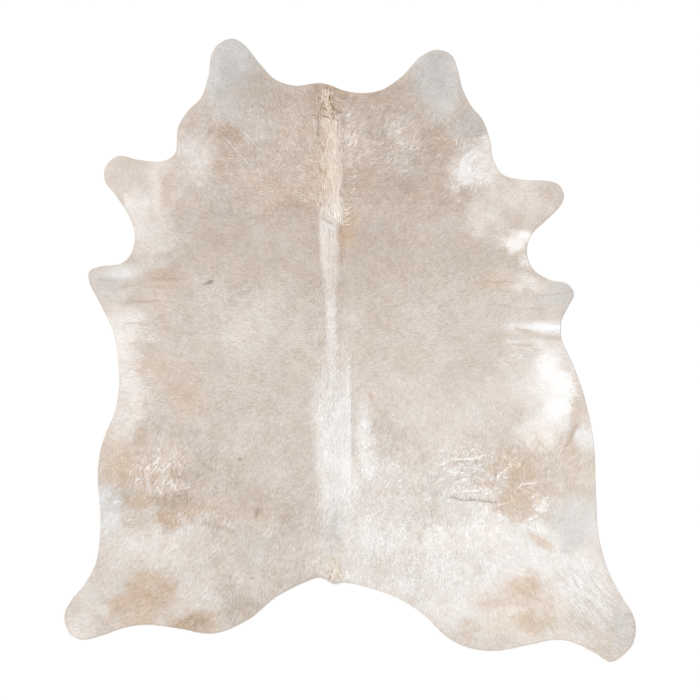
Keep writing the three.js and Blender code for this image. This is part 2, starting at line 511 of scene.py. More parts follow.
PATCHES = (
    GROUND_PATCHES + NECK_PATCHES + SHOULDER_PATCHES + BELLY_PATCHES + SPINE_PATCHES
    + RIGHT_HIND_PATCHES + LEFT_HIND_PATCHES + FLANK_ISLANDS + SMALL_SPOTS
)

# Columns: along, left, right, left blur, right blur, tone, share.
STRIPE = rows_of(
    StripeRow,
    (560, -122, -55, 6, 10, T.IVORY, 0.8),
    (404, -122, -50, 10, 16, T.IVORY, 0.72),
    (335, -114, -50, 14, 18, T.IVORY, 0.62),
    (300, -106, -54, 12, 14, T.IVORY, 0.55),
    (200, -98, -58, 8, 9, T.MILK, 0.65),
    (80, -97, -55, 8, 10, T.MILK, 0.65),
    (30, -100, -48, 12, 18, T.MILK, 0.6),
    (-5, -115, -6, 26, 8, T.MILK, 0.45),
    (-120, -138, 2, 32, 4, T.MILK, 0.52),
    (-240, -146, 3, 34, 4, T.MILK, 0.8),
    (-440, -142, 5, 28, 6, T.MILK, 0.86),
    (-525, -130, 6, 28, 24, T.MILK, 0.78),
    (-650, -110, 8, 42, 50, T.MILK, 0.6),
    (-780, -100, 10, 50, 60, T.OAT, 0.4),
    (-900, -90, 0, 50, 60, T.OAT, 0),
)

# Columns: place, across, along, heading, length, bend, half width, light, warmth.
SPINE_LINES = rows_of(
    Streak,
    ("core", -76, 190, -90, 360, 0, 9, 0.03, -0.1),
    ("middle line", -60, 45, -90, 280, 0, 3, 0.035, -0.05),
    # The creases near the spine are dark lines, partly the parted hair's own tan and partly painted shade.
    ("middle crease", -66, -150, -90, 90, 0, 2.5, -0.06, 0.15),
    ("upper crease", -84, 480, -92, 170, 4, 3, -0.045, 0.15),
    ("upper crease, second", -68, 450, -90, 150, 0, 3, -0.035, 0.15),
    ("tan line", -38, 500, -90, 150, 0, 5, -0.045, 0.35),
    ("second tan line", -25, 470, -90, 90, 0, 4, -0.035, 0.25),
    ("tail, grey", -58, -650, -90, 100, 0, 9, -0.045, -0.1),
    ("cheek, mark", -600, 926, -20, 14, 0, 5, -0.09, 0),
    # Painted shade in the cheek's fold.
    ("cheek, fold", -590, 850, 70, 60, -20, 5, -0.05, 0.2),
    ("left flank, brown streak", -590, -690, -18, 130, 0, 7, -0.075, 0.3),
    ("left leg, speck", -622, -1028, -8, 22, 0, 4, 0.06, -0.5),
    ("left leg, speck beside", -514, -1030, -14, 26, 0, 4, 0.055, -0.5),
    # The right belly's crease is a dark line, partly the parted hair's own tan and partly painted shade.
    ("right belly, crease", 917, -296, -114, 60, -6, 7, -0.1, 0.45),
    ("right belly, crease, end", 892, -352, -118, 62, -6, 6, -0.045, 0.35),
    ("leg line, first", 826, -890, -44, 190, -6, 3, -0.05, 0.05),
    ("leg line, first end", 965, -1020, -50, 180, 0, 3, -0.045, 0.05),
    ("leg line, second", 870, -862, -42, 150, 0, 3, -0.045, 0.05),
    ("leg line, third", 895, -930, -50, 170, 6, 3, -0.045, 0.05),
    ("leg line, fourth", 850, -950, -40, 140, 0, 3, -0.04, 0.05),
    ("leg line, fifth", 930, -860, -62, 120, 10, 3, -0.04, 0.05),
    ("leg line, across", 880, -880, -12, 90, 0, 3, -0.035, 0.05),
)

PALE_LINES = rows_of(
    Streak,
    ("stripe, right line, upper", -2, -6, -90, 178, 0, 4.4, 0.08),
    ("stripe, right line, lower", -1, -180, -90, 460, 0, 6.0, 0.045),
    ("neck scratch, first", -509, 873, -48, 186, 0, 1.1, 0.075),
    ("neck scratch, second", -424, 889, -49, 154, 0, 1.1, 0.07),
    ("neck scratch, third", -267, 920, -58, 110, 0, 1.1, 0.05),
    ("cheek, line", -604, 882, 62, 60, 0, 4.0, 0.04),
    ("right lobe, fold", 420, 1106, -100, 40, 30, 3.5, 0.08, 0),
    ("right lobe, fold middle", 416, 1066, -91, 100, 4, 3.0, 0.06, 0.05),
    ("right lobe, fold foot", 418, 970, -84, 70, 12, 3.0, 0.06, 0.05),
    ("right lobe, fold end", 438, 880, -86, 50, -12, 3.5, 0.08, 0),
    ("right cheek, line", 295, 854, 0, 129, 8, 4, 0.04),
    ("leg, pale line, first", 838, -880, -44, 200, -6, 2.5, 0.04),
    ("leg, pale line, second", 905, -915, -50, 180, 6, 2.5, 0.04),
    ("left flank ring, upper", -905, -700, 60, 60, -80, 3, 0.06),
    ("left flank ring, lower", -915, -745, 70, 55, -90, 3, 0.06),
)

# Crevices between the crest's locks. Their brown is partly the hair deep between the locks and partly painted
# shade.
CREVICE_BROWN_AND_SHADE = rows_of(
    Streak,
    ("top", -78, 1044, -88, 30, 10, 1.2, -0.11, 0.5),
    ("middle", -78, 1017, -68, 42, 4, 2.0, -0.19, 0.6),
    ("foot", -62, 978, -104, 22, 12, 1.7, -0.16, 0.6),
    ("end", -65, 957, -84, 20, 0, 2.8, -0.2, 0.6),
    ("branch", -60, 982, -36, 36, 4, 1.3, -0.13, 0.45),
    ("branch, low", -62, 943, -32, 28, 6, 1.2, -0.11, 0.45),
    ("left arc", -92, 1017, -132, 54, 38, 1.2, -0.11, 0.5),
    ("left arc, upper", -112, 1034, -120, 26, 20, 1.1, -0.1, 0.45),
    ("inner arc", -96, 1004, -80, 22, -40, 1.1, -0.11, 0.5),
    ("curl", -112, 990, -24, 20, -60, 1.1, -0.11, 0.5),
    ("lower pit", -114, 964, -48, 46, 40, 1.3, -0.12, 0.5),
    ("crest, wave", -104, 842, -76, 38, -24, 1.3, -0.12, 0.4),
    ("crest, wave second", -112, 768, -104, 44, 24, 1.2, -0.11, 0.35),
    ("crest, wave third", -98, 742, -80, 46, -16, 1.2, -0.115, 0.4),
    ("crest, wave fourth", -110, 690, -96, 40, 20, 1.2, -0.11, 0.35),
    ("left line", -123, 992, -90, 128, 0, 1.1, -0.105, 0.3),
    # Painted shadow under the crest's raised lower end.
    ("step", -110, 538, -28, 44, 0, 2.4, -0.115, 0.02),
)

# Creases at the elbows, armpits and girths. The dark lines are partly the hair's own colour where it parts
# and partly painted shade in the crease. Some have a band of painted light beside them, and the last two rows
# are painted shade under the right flank's ridges.
CREASE_SHADE_AND_LIGHT = rows_of(
    Streak,
    ("left elbow, tip", -1024, 284, -4, 62, 0, 5, -0.035, 0.25),
    ("left elbow, upper", -926, 256, 7, 75, 0, 4, -0.045, 0.3),
    ("left elbow, long", -867, 243, 15, 108, -15, 4, -0.045, 0.1),
    ("left armpit", -800, 281, 5, 134, -5, 6, -0.04, 0.3),
    ("left armpit, low", -790, 250, 3, 150, -5, 4, -0.03, 0.2),
    ("left elbow, low tip", -1014, 222, -7, 40, 0, 4, -0.035, 0.2),
    ("left elbow, smudge", -930, 187, 5, 45, 0, 9, -0.025, 0.3),
    ("left elbow, middle", -885, 195, 1, 116, 3, 4, -0.07, 0.2),
    ("left girth", -910, 110, -1, 72, 0, 4, -0.075, 0.25),
    ("left girth, outer", -941, 89, -1, 36, 0, 4, -0.035, 0.3),
    ("left girth, inner", -751, 87, 2, 23, 0, 4, -0.035, 0.4),
    ("left girth, low", -934, 23, 2, 75, 0, 4, -0.035, 0.35),
    ("left girth, low inner", -833, 22, 0, 36, 0, 4, -0.04, 0.35),
    ("left elbow, light", -960, 300, -2, 90, 4, 8, 0.035, -0.15),
    ("right armpit, first", 551, 280, -17, 38, 10, 4, -0.04, 0.35),
    ("right armpit, second", 587, 269, 18, 38, -10, 4, -0.04, 0.35),
    ("right armpit, third", 623, 281, -9, 60, 0, 4, -0.035, 0.3),
    ("right elbow, upper", 595, 249, -14, 76, 4, 4, -0.03, 0.25),
    ("right elbow, upper end", 690, 246, -9, 52, 0, 5, -0.03, 0.25),
    ("right elbow, tip", 752, 224, -3, 145, 18, 4, -0.04, 0.2),
    ("right elbow, low", 584, 183, -11, 205, 12, 4, -0.045, 0.3),
    ("right girth, pale", 623, 96, 1, 230, -6, 13, 0.045, -0.25),
    ("right girth, tan", 665, 88, -18, 95, 10, 9, -0.04, 0.25),
    ("right girth, tan end", 752, 56, -5, 110, 2, 10, -0.075, 0.2),
    ("right girth, shade", 560, 55, 10, 120, -20, 14, -0.025, 0.15),
    ("right girth, low pale", 623, 33, 0, 110, 0, 5, 0.035, -0.2),
    ("right girth, low", 649, 22, -4, 84, 0, 4, -0.04, 0.25),
    ("right girth, low light", 654, 12, -3, 66, 0, 4, 0.035, -0.15),
    ("right girth, last", 640, 1, -3, 60, 0, 3, -0.03, 0.2),
    ("flank, shade under a ridge", 421, -452, 5, 115, -8, 4, -0.045, 0.3),
    ("flank, shade in the middle", 488, -493, -8, 52, -4, 4, -0.06, 0.3),
)

# Dark creases among the right flank's ridges, which are painted shade, and one brown mark of the hair's own
# colour on the left flank.
FLANK_CREASE_SHADE_AND_MARK = rows_of(
    Streak,
    ("flank crease, start", 396, -582, -12, 66, -10, 1.8, -0.105, 0.25),
    ("flank crease, middle", 460, -600, 3, 52, -5, 2.6, -0.17, 0.35),
    ("flank crease, end", 510, -600, -4, 82, -6, 1.8, -0.13, 0.35),
    ("left flank, brown mark", -366, -630, -112, 56, 20, 3, -0.09, 0.4),
)

# Ridges of raised hair on the flanks. They are paler than the coat, partly from the hair's own colour and
# partly from painted highlight where they catch the light.
RIDGES = rows_of(
    Streak,
    ("first, rise", 364, -467, 42, 42, -20, 5, 0.085),
    ("first", 395, -439, 3, 115, 0, 5, 0.095),
    ("first, end", 508, -434, 8, 30, 20, 5, 0.1),
    ("second", 390, -483, -6, 52, -16, 5, 0.085),
    ("second, end", 440, -497, -4, 72, 6, 4, 0.06),
    ("third", 482, -485, 36, 62, -25, 8, 0.07),
    ("third, foot", 500, -492, 10, 34, 0, 5, 0.065),
    ("fourth", 552, -454, 8, 36, 0, 7, 0.065),
    ("hook, upper", 614, -401, -58, 50, 6, 6, 0.085),
    ("hook, turn", 640, -441, -46, 30, 0, 7, 0.095),
    ("hook, arm", 664, -462, -163, 52, 40, 5, 0.11),
    ("hook, foot", 616, -484, -124, 36, 20, 4, 0.11),
    ("beside the hook", 686, -476, 82, 44, -26, 5, 0.09),
    ("hill, rise", 673, -564, 54, 30, -16, 5, 0.1),
    ("hill", 689, -542, 20, 70, -24, 5, 0.11),
    ("hill, spur", 743, -508, -68, 32, 0, 5, 0.09),
    ("fifth", 451, -567, 8, 74, -10, 6, 0.085),
    ("sixth", 544, -566, -48, 22, 70, 5, 0.085),
    ("seventh", 574, -556, 12, 30, 0, 5, 0.08),
    ("left edge", 390, -550, -105, 105, 18, 6, 0.06),
    ("left, upper", 364, -489, -135, 46, 0, 6, 0.055),
    ("island, upper right", 720, -604, 32, 38, 0, 9, 0.09),
    ("island, far right", 783, -595, 0, 14, 0, 8, 0.085),
    ("island, low right", 741, -638, -10, 48, 0, 8, 0.095),
    ("island, bottom right", 716, -680, 14, 34, 0, 7, 0.09),
    ("island, left end", 590, -626, 16, 48, 0, 5, 0.08),
    ("island, left foot", 594, -645, -52, 34, 0, 5, 0.08),
    ("left flank, top", -771, -351, -108, 70, 6, 3, 0.06),
    ("left flank, top beside", -756, -372, -104, 42, 10, 3, 0.05),
    ("left flank, upper", -761, -406, -106, 58, 8, 3, 0.07),
    ("left flank, upper second", -733, -424, -110, 44, -8, 3, 0.075),
    ("left flank, upper third", -700, -398, -100, 36, 14, 3, 0.08),
    ("left flank, upper fourth", -690, -432, -70, 30, -20, 3, 0.075),
    ("left flank, middle", -819, -478, -80, 86, -10, 4, 0.08),
    ("left flank, middle second", -797, -486, -102, 74, 12, 4, 0.07),
    ("left flank, outer", -853, -500, -104, 72, 8, 4, 0.065),
    ("left flank, inner", -720, -508, -72, 46, -10, 4, 0.085),
    ("left flank, arm", -696, -555, 2, 60, 6, 3, 0.075),
    ("left flank, arm end", -644, -506, -90, 50, 4, 3, 0.065),
    ("left flank, foot", -716, -578, 8, 40, -6, 3, 0.06),
)

# Columns: place, across, along, half width, half length, count, light, heading, spread.
CURL_BEDS = rows_of(
    CurlBed,
    ("right flank", 480, -500, 200, 110, 190, 0.07, 10, 38),
    ("right flank, low", 430, -650, 200, 60, 40, 0.045, -20, 50),
    ("right thigh", 760, -640, 60, 50, 18, 0.06, 0, 60),
    ("left flank", -755, -470, 105, 100, 150, 0.07, -106, 20),
    ("left flank, upper", -770, -330, 80, 60, 40, 0.05, -105, 16),
    ("left flank, inner", -560, -520, 140, 120, 60, 0.04, -110, 26),
    ("left flank, foot", -740, -690, 160, 50, 60, 0.055, -110, 34),
    ("left hind ring", -900, -700, 40, 50, 10, 0.06, 60, 40),
    ("left rump", -560, -800, 220, 150, 110, 0.035, -120, 20),
    ("right of the stripe", 100, -420, 90, 200, 110, 0.05, -84, 24),
    ("right rump", 220, -680, 190, 150, 230, 0.055, -66, 44),
    ("right rump, inner", 340, -840, 170, 140, 200, 0.055, -66, 50),
    ("right neck", 215, 850, 110, 100, 110, 0.06, -135, 14),
    ("right of the crest", 14, 860, 34, 120, 70, 0.06, -125, 16),
    ("right neck, inner", 120, 720, 120, 160, 110, 0.036, -140, 14),
    ("left of the crest", -250, 760, 110, 170, 130, 0.04, -34, 11),
    ("left neck, low", -400, 700, 170, 120, 130, 0.042, -38, 12),
)

# Columns: place, count, across, half width, foot, top, heading, fan, stray, bend, length, wave, width,
# height, rest, slope, tone, contrast. Rest and slope are the ragged line that the tips don't pass.
CREST_LOCKS = rows_of(
    LockGroup,
    ("sweep, left", 430, -102, 19, 550, 985, -90, 2, 7, 12, 50, 2.8, 1.2, 3.2, 530, -0.45, T.CREAM, 0.034),
    ("sweep, right", 560, -60, 21, 556, 960, -90, 2, 6, 9, 56, 1.6, 1.2, 3.6, 516, -0.45, T.BUTTER, 0.024),
    # The gap groups are dark strands set in the gaps between the locks. They are partly the brown hair
    # beneath and partly painted shade.
    ("sweep, gaps", 210, -108, 17, 560, 960, -90, 2, 9, 14, 38, 3.2, 0.9, 3.0, 534, -0.45, T.WALNUT, 0.045),
    ("sweep, thin gaps", 90, -62, 22, 580, 960, -90, 2, 7, 10, 38, 1.8, 0.8, 3.2, 532, -0.45, T.HONEY, 0.03),
    ("crown, strands", 200, -101, 22, 994, 1062, -90, 6, 9, 24, 30, 1.4, 0.9, 2.8, 900, 0, T.CREAM, 0.06),
    ("crown, curls", 250, -84, 34, 935, 1020, -90, 50, 40, 110, 22, 1.4, 0.9, 3.4, 900, 0, T.CREAM, 0.07),
    ("crown, gaps", 150, -92, 38, 940, 1072, -90, 40, 24, 50, 18, 1.2, 0.7, 3.2, 900, 0, T.BRONZE, 0.05),
    ("left, upper", 120, -164, 32, 800, 985, -56, 0, 8, 10, 50, 1.6, 0.9, 1.6, 500, 0, T.CREAM, 0.03),
    ("left, lower", 190, -186, 44, 595, 790, -24, 0, 6, 16, 64, 2.4, 0.9, 1.8, 500, 0, T.CREAM, 0.034),
    ("left, gaps", 210, -184, 42, 580, 960, -30, 0, 9, 16, 52, 2.4, 0.9, 1.5, 500, 0, T.WALNUT, 0.034),
    ("right, upper", 120, 6, 26, 740, 940, -125, 0, 9, 14, 30, 1.4, 0.9, 1.6, 470, 0, T.CREAM, 0.035),
    ("right, gaps", 70, 6, 26, 600, 940, -125, 0, 9, 14, 28, 1.4, 0.9, 1.5, 470, 0, T.WALNUT, 0.03),
    ("hanging tips", 90, -47, 12, 545, 640, -89, 2, 5, 8, 50, 1.4, 1.2, 3.8, 506, -0.3, T.BUTTER, 0.02),
)

LEG_LOCKS = rows_of(
    LockGroup,
    ("lines, white", 110, 930, 75, -1080, -850, -50, 0, 5, 5, 90, 0.8, 0.8, 1.8, -1240, 0, T.CHALK, 0.012),
    ("lines, grey", 110, 945, 75, -1080, -850, -50, 0, 5, 5, 80, 0.8, 0.7, 1.6, -1240, 0, T.ASH, 0.016),
)

TAIL_LOCKS = rows_of(
    LockGroup,
    ("tail, cream", 150, -60, 24, -908, -822, -92, 16, 14, 14, 40, 1.8, 1.2, 3.0, -946, 0.2, T.CREAM, 0.044),
    ("tail, shade", 90, -70, 22, -925, -880, -96, 14, 18, 12, 24, 1.2, 1.4, 1.8, -948, 0.2, T.WALNUT, 0.04),
)

# Columns: place, across, along, half width, half length, hair length, lift, mix.
COAT_CUTS = rows_of(
    CoatCut,
    ("neck", -80, 860, 620, 330, 31, 2.2, 2.00),
    ("shoulders", -80, 420, 900, 190, 19, 1.2, 1.05),
    ("loins", -80, -60, 900, 420, 27, 1.3, 0.85),
    ("right flank", 560, -520, 330, 200, 27, 3.0, 2.50),
    ("left flank", -700, -540, 300, 220, 27, 2.8, 2.10),
    ("rump", 0, -800, 900, 300, 30, 2.0, 1.40),
    ("left lobe", -480, 1140, 140, 210, 15, 0.8, 0.7),
    ("right lobe", 380, 1100, 150, 190, 15, 0.8, 0.7),
    ("left foreleg", -890, 600, 210, 290, 15, 0.9, 0.7),
    ("right foreleg", 720, 560, 230, 230, 15, 0.9, 0.7),
    ("left elbow", -960, 230, 220, 190, 17, 0.9, 0.5),
    ("right elbow", 800, 190, 240, 190, 17, 0.9, 0.5),
    ("right neck, pale", 220, 850, 160, 130, 28, 2.4, 2.30),
    ("right belly", 810, -150, 150, 230, 20, 0.7, 0.2),
    ("right of the stripe", 150, -480, 170, 260, 26, 2.0, 1.90),
    ("right rump", 330, -800, 260, 200, 26, 2.2, 1.90),
    ("right thigh, grey", 920, -720, 130, 150, 20, 1.0, 0.6),
    ("right hind leg", 1000, -1060, 240, 220, 34, 2.2, 1.10),
    ("left hind foot", -1060, -1070, 200, 160, 22, 1.3, 0.8),
    ("spine", -76, -50, 70, 1000, 34, 2.2, 1.10),
    ("back, dark spot", -566, 274, 34, 24, 12, 0.9, 0.5),
    ("flank, dot", -446, -438, 24, 24, 8, 0.8, 0.5),
    ("buttock, dot", -396, -918, 22, 22, 8, 0.8, 0.5),
    ("flank, brown mark", -374, -658, 30, 40, 12, 1.0, 0.9),
    ("flank crease", 490, -600, 110, 16, 14, 1.0, 1.20),
)

# Columns: along in metres, lowest first, then right near, right far, left near, left far.
HAIR_ROWS = rows_of(
    HairRow,
    (-1.10, -92, -38, -80, -40),
    (-0.85, -92, -46, -76, -55),
    (-0.65, -86, -58, -72, -60),
    (-0.4, -80, -76, -66, -62),
    (-0.26, -66, -74, -44, -50),
    (-0.16, -44, -52, -16, -20),
    (-0.05, -14, -16, -10, -10),
    (0.15, -6, -4, -6, -4),
    (0.4, -6, -4, -6, -4),
    (0.54, -10, -8, -10, -8),
    (0.61, -154, -110, -152, -110),
    (0.78, -146, -108, -144, -106),
    (0.95, -132, -112, -130, -112),
)

# Columns: place, across, along, heading, length, width, height.
FOLDS = rows_of(
    Fold,
    ("left elbow, upper", -915, 305, 4, 210, 16, 3.6),
    ("left elbow, middle", -930, 215, -4, 220, 20, 4.0),
    ("left girth", -890, 112, 0, 190, 15, 4.0),
    ("left girth, lower", -880, 22, -3, 170, 18, 3.0),
    ("right elbow, upper", 720, 232, -8, 190, 18, 3.0),
    ("right elbow", 760, 150, 0, 210, 20, 3.4),
    ("right girth", 775, 78, 3, 190, 17, 4.2),
    ("right belly", 800, -30, 8, 150, 26, 2.4),
    ("right flank, tan", 690, -500, 20, 240, 30, 2.6),
    ("right flank, crease", 520, -585, -4, 190, 16, 2.6),
    ("left flank", -780, -430, -60, 200, 26, 2.6),
    ("left neck", -560, 830, 60, 150, 30, 2.0),
    ("right neck", 420, 800, -62, 170, 30, 2.2),
    ("right thigh", 880, -800, -35, 260, 34, 2.4),
    ("left thigh", -900, -860, 30, 240, 36, 2.4),
)


class SoftNoise:
    """Smooth seeded noise on a plane, with a spread of about one."""

    cells = 256
    gain = 1.4
    shift = (0.37 * cells, 0.61 * cells)

    def __init__(self, seed: int) -> None:
        """Draws the noise's table, which this seed always gives."""
        self.table = np.random.default_rng(seed).standard_normal((self.cells, self.cells)) * self.gain

    def at(self, x: Array, y: Array, wave: float) -> Array:
        """Reads the noise.

        Args:
            x: places across, in metres.
            y: places along, in metres.
            wave: the size of one cell, in metres.

        Returns:
            One number for each place.
        """
        u, v = x / wave + self.shift[0], y / wave + self.shift[1]
        i, j = np.floor(u).astype(int), np.floor(v).astype(int)
        s, t = u - i, v - j
        s = s * s * s * (s * (s * 6 - 15) + 10)
        t = t * t * t * (t * (t * 6 - 15) + 10)
        i, right, j, above = (k % self.cells for k in (i, i + 1, j, j + 1))
        lower = self.table[i, j] * (1 - s) + self.table[right, j] * s
        upper = self.table[i, above] * (1 - s) + self.table[right, above] * s
        return lower * (1 - t) + upper * t


class Outline:
    """The trimmed edge of the hide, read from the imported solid, and how far any place is from it."""

    cell = 0.006
    reach = 0.16
    margin = 0.03

    def __init__(self, node: Piece) -> None:
        """Reads the edge and fills the distance grid.

        Args:
            node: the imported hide.
        """
        self.ring = self._refined(self._ring_of(node))
        self.low = self.ring.min(0) - self.margin
        self.distance = self._distance_grid()

    @staticmethod
    def _ring_of(node: Piece) -> Array:
        """Chains the solid's upper edge into one ring.

        Args:
            node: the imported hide.

        Returns:
            The ring's points across and along, counter-clockwise.
        """
        mesh = node.data
        mesh.calc_loop_triangles()
        places = np.array([v.co[:] for v in mesh.vertices]).round(6)
        unique, index = np.unique(places, axis=0, return_inverse=True)
        at_edge = unique[:, 2] == np.unique(unique[:, 2])[-2]
        triangles = index.ravel()[np.array([t.vertices[:] for t in mesh.loop_triangles])]
        beside: dict[int, set[int]] = {}
        for corner in range(3):
            for a, b in zip(triangles[:, corner], triangles[:, (corner + 1) % 3]):
                if at_edge[a] and at_edge[b]:
                    beside.setdefault(int(a), set()).add(int(b))
                    beside.setdefault(int(b), set()).add(int(a))
        start = min(beside)
        chain = [start, min(beside[start])]
        while True:
            after = max(beside[chain[-1]] - {chain[-2]})
            if after == start:
                break
            chain.append(after)
        ring = unique[chain, :2]
        after = np.roll(ring, -1, 0)
        turns_right = np.sum(ring[:, 0] * after[:, 1] - after[:, 0] * ring[:, 1]) < 0
        return ring[::-1] if turns_right else ring

    @staticmethod
    def _refined(ring: Array) -> Array:
        """Puts a smooth point between each two points of a ring.

        Args:
            ring: the ring's points.

        Returns:
            Twice as many points.
        """
        before, after, next_after = np.roll(ring, 1, 0), np.roll(ring, -1, 0), np.roll(ring, -2, 0)
        middle = (9 * (ring + after) - before - next_after) / 16
        return np.stack([ring, middle], 1).reshape(-1, 2)

    def _distance_grid(self) -> Array:
        """Measures how far each cell's corner is from the edge.

        Returns:
            Distances in metres, positive inside the hide.
        """
        size = np.ceil((self.ring.max(0) + self.margin - self.low) / self.cell).astype(int) + 1
        xs = self.low[0] + np.arange(size[0]) * self.cell
        ys = self.low[1] + np.arange(size[1]) * self.cell
        found = np.full(size, self.reach)
        span = int(self.reach / self.cell) + 1
        after = np.roll(self.ring, -1, 0)
        for a, b in zip(self.ring, after):
            i, j = ((a - self.low) / self.cell).astype(int)
            rows = slice(max(i - span, 0), i + span)
            columns = slice(max(j - span, 0), j + span)
            x, y = np.meshgrid(xs[rows], ys[columns], indexing="ij")
            step = b - a
            t = np.clip(((x - a[0]) * step[0] + (y - a[1]) * step[1]) / (step @ step), 0, 1)
            far = np.hypot(x - a[0] - t * step[0], y - a[1] - t * step[1])
            found[rows, columns] = np.minimum(found[rows, columns], far)
        for j, y in enumerate(ys):
            crosses = (self.ring[:, 1] > y) != (after[:, 1] > y)
            a, b = self.ring[crosses], after[crosses]
            hits = np.sort(a[:, 0] + (y - a[:, 1]) / (b[:, 1] - a[:, 1]) * (b[:, 0] - a[:, 0]))
            outside = np.searchsorted(hits, xs) % 2 == 0
            found[outside, j] *= -1
        return found

    def inside_by(self, x: Array, y: Array) -> Array:
        """Says how far inside the edge each place is.

        Args:
            x: places across, in metres.
            y: places along, in metres.

        Returns:
            Distances in metres, negative outside, and no more than the reach.
        """
        u = np.clip((x - self.low[0]) / self.cell, 0, self.distance.shape[0] - 1.001)
        v = np.clip((y - self.low[1]) / self.cell, 0, self.distance.shape[1] - 1.001)
        i, j = u.astype(int), v.astype(int)
        s, t = u - i, v - j
        grid = self.distance
        lower = grid[i, j] * (1 - s) + grid[i + 1, j] * s
        upper = grid[i, j + 1] * (1 - s) + grid[i + 1, j + 1] * s
        return lower * (1 - t) + upper * t

    def inset(self, depth: float) -> Array:
        """Moves the ring inwards.

        Args:
            depth: how far, in metres.

        Returns:
            The moved points.
        """
        along = np.roll(self.ring, -1, 0) - np.roll(self.ring, 1, 0)
        along /= np.linalg.norm(along, axis=1, keepdims=True)
        return self.ring + np.stack([-along[:, 1], along[:, 0]], 1) * depth


class StreakField:
    """Streaks laid out as runs of short steps, so that any place can ask which one it lies on."""

    step = 3.0 * MM
    widths_out = 2.6

    def __init__(self, streaks: tuple[Streak, ...]) -> None:
        """Lays out every streak.

        Args:
            streaks: the streaks.
        """
        points, turns, facts = [], [], []
        for streak in streaks:
            count = max(int(streak.length * MM / self.step), 2)
            share = (np.arange(count) + 0.5) / count
            turn = np.radians(streak.heading + streak.bend * share)
            run = np.stack([np.cos(turn), np.sin(turn)], 1) * streak.length * MM / count
            points.append(np.array([streak.across, streak.along]) * MM + np.cumsum(run, 0) - run / 2)
            turns.append(turn)
            facts.append(np.tile([streak.width * MM, streak.light, streak.warmth], (count, 1)))
        self.points, self.turns, self.facts = (np.concatenate(part) for part in (points, turns, facts))

    def at(self, x: Array, y: Array) -> tuple[Array, Array, Array, Array]:
        """Finds the streak that each place lies on.

        Args:
            x: places across, in metres.
            y: places along, in metres.

        Returns:
            The gains in light and in warmth, how near the streak's middle each place is, and its heading.
        """
        order = np.argsort(y)
        sorted_y = y[order]
        light, warmth, near, heading = np.zeros((4, *x.shape))
        for (px, py), turn, (width, more_light, more_warmth) in zip(self.points, self.turns, self.facts):
            span = self.widths_out * width
            first, last = np.searchsorted(sorted_y, [py - span, py + span])
            around = order[first:last]
            around = around[np.abs(x[around] - px) < span]
            crest = np.exp(-((x[around] - px) ** 2 + (y[around] - py) ** 2) / (width * width))
            better = crest > near[around]
            chosen, crest = around[better], crest[better]
            near[chosen], heading[chosen] = crest, turn
            light[chosen], warmth[chosen] = more_light * crest, more_warmth * crest
        return light, warmth, near, heading


def curls_of(beds: tuple[CurlBed, ...], furrows: float = 0.35, seed: int = 71) -> tuple[Streak, ...]:
    """Scatters small curled ridges, with furrows among them, over each bed. The ridges' pale gain is partly
    painted highlight, and the furrows' dark gain is painted shade.

    Args:
        beds: the beds.
        furrows: the share of the curls that are furrows, darkened with painted shade.
        seed: starts the random numbers.

    Returns:
        The ridges and furrows.
    """
    rng = np.random.default_rng(seed)
    made = []
    for bed in beds:
        for _ in range(bed.count):
            x = bed.across + rng.normal(0, 0.5) * bed.half_width
            y = bed.along + rng.normal(0, 0.5) * bed.half_length
            heading = rng.normal(bed.heading, bed.spread)
            bend, width = bed.spread * rng.uniform(-1.4, 1.4), rng.uniform(2.4, 4.2)
            length = rng.uniform(15, 46) * (1 - bed.spread / 90)
            light = bed.light * rng.uniform(0.4, 1.4)
            warmth = -3.2 * light
            if rng.random() < furrows:
                light, warmth = -0.8 * light, -warmth
            made.append(Streak("curl", x, y, heading, length, bend, width, light, warmth))
    return tuple(made)


@dataclass(frozen=True)
class CrestRungs:
    """Short bars of hair down the right side of the crest, pale and tan by turns, in millimetres."""

    count: int = 19
    low_ones: int = 6
    across: float = -22.0
    top: float = 728.0
    gap: float = 12.4
    width: float = 3.0
    pale: tuple = (0.070, -0.10)
    tan: tuple = (-0.065, 0.25)
    low_gain: float = 1.2
    seed: int = 72

    def streaks(self) -> tuple[Streak, ...]:
        """Lays the bars, the lowest ones longer and stronger.

        Returns:
            The bars.
        """
        rng = np.random.default_rng(self.seed)
        bars = []
        for number in range(self.count):
            low = number >= self.count - self.low_ones
            for (light, warmth), shift in ((self.pale, 0.0), (self.tan, -self.gap / 2)):
                x = self.across + (rng.uniform(-8, 0) if low else rng.uniform(-4, 28))
                y = self.top - self.gap * number + shift + rng.uniform(-3, 3)
                heading, length = rng.uniform(4, 30), rng.uniform(28, 38) if low else rng.uniform(16, 32)
                bend, gain = rng.uniform(-20, 20), light * (self.low_gain if low else 1)
                bars.append(Streak("bar", x, y, heading, length, bend, self.width, gain, warmth))
        return tuple(bars)


class Stripe:
    """The pale stripe down the spine, read between its rows, up to the crest's foot."""

    foot_of_crest = (0.555, 0.525)

    def __init__(self) -> None:
        """Sorts the rows from the tail to the neck."""
        rows = sorted(STRIPE, key=lambda row: row.along)
        self.along = np.array([row.along for row in rows]) * MM
        self.sides = np.array([(row.left, row.right, row.left_blur, row.right_blur) for row in rows]) * MM
        self.tones = np.array([(row.tone.light, row.tone.warmth, row.share) for row in rows])

    def at(self, x: Array, y: Array) -> tuple[Array, Array, Array]:
        """Reads the stripe.

        Args:
            x: places across, in metres.
            y: places along, in metres.

        Returns:
            The stripe's light and warmth there, and its share in the coat.
        """
        left, right, left_blur, right_blur = (np.interp(y, self.along, side) for side in self.sides.T)
        light, warmth, share = (np.interp(y, self.along, tone) for tone in self.tones.T)
        inside = ease(-1.0, 1.0, (x - left) / left_blur) * ease(1.0, -1.0, (x - right) / right_blur)
        return light, warmth, inside * share * ease(*self.foot_of_crest, y)


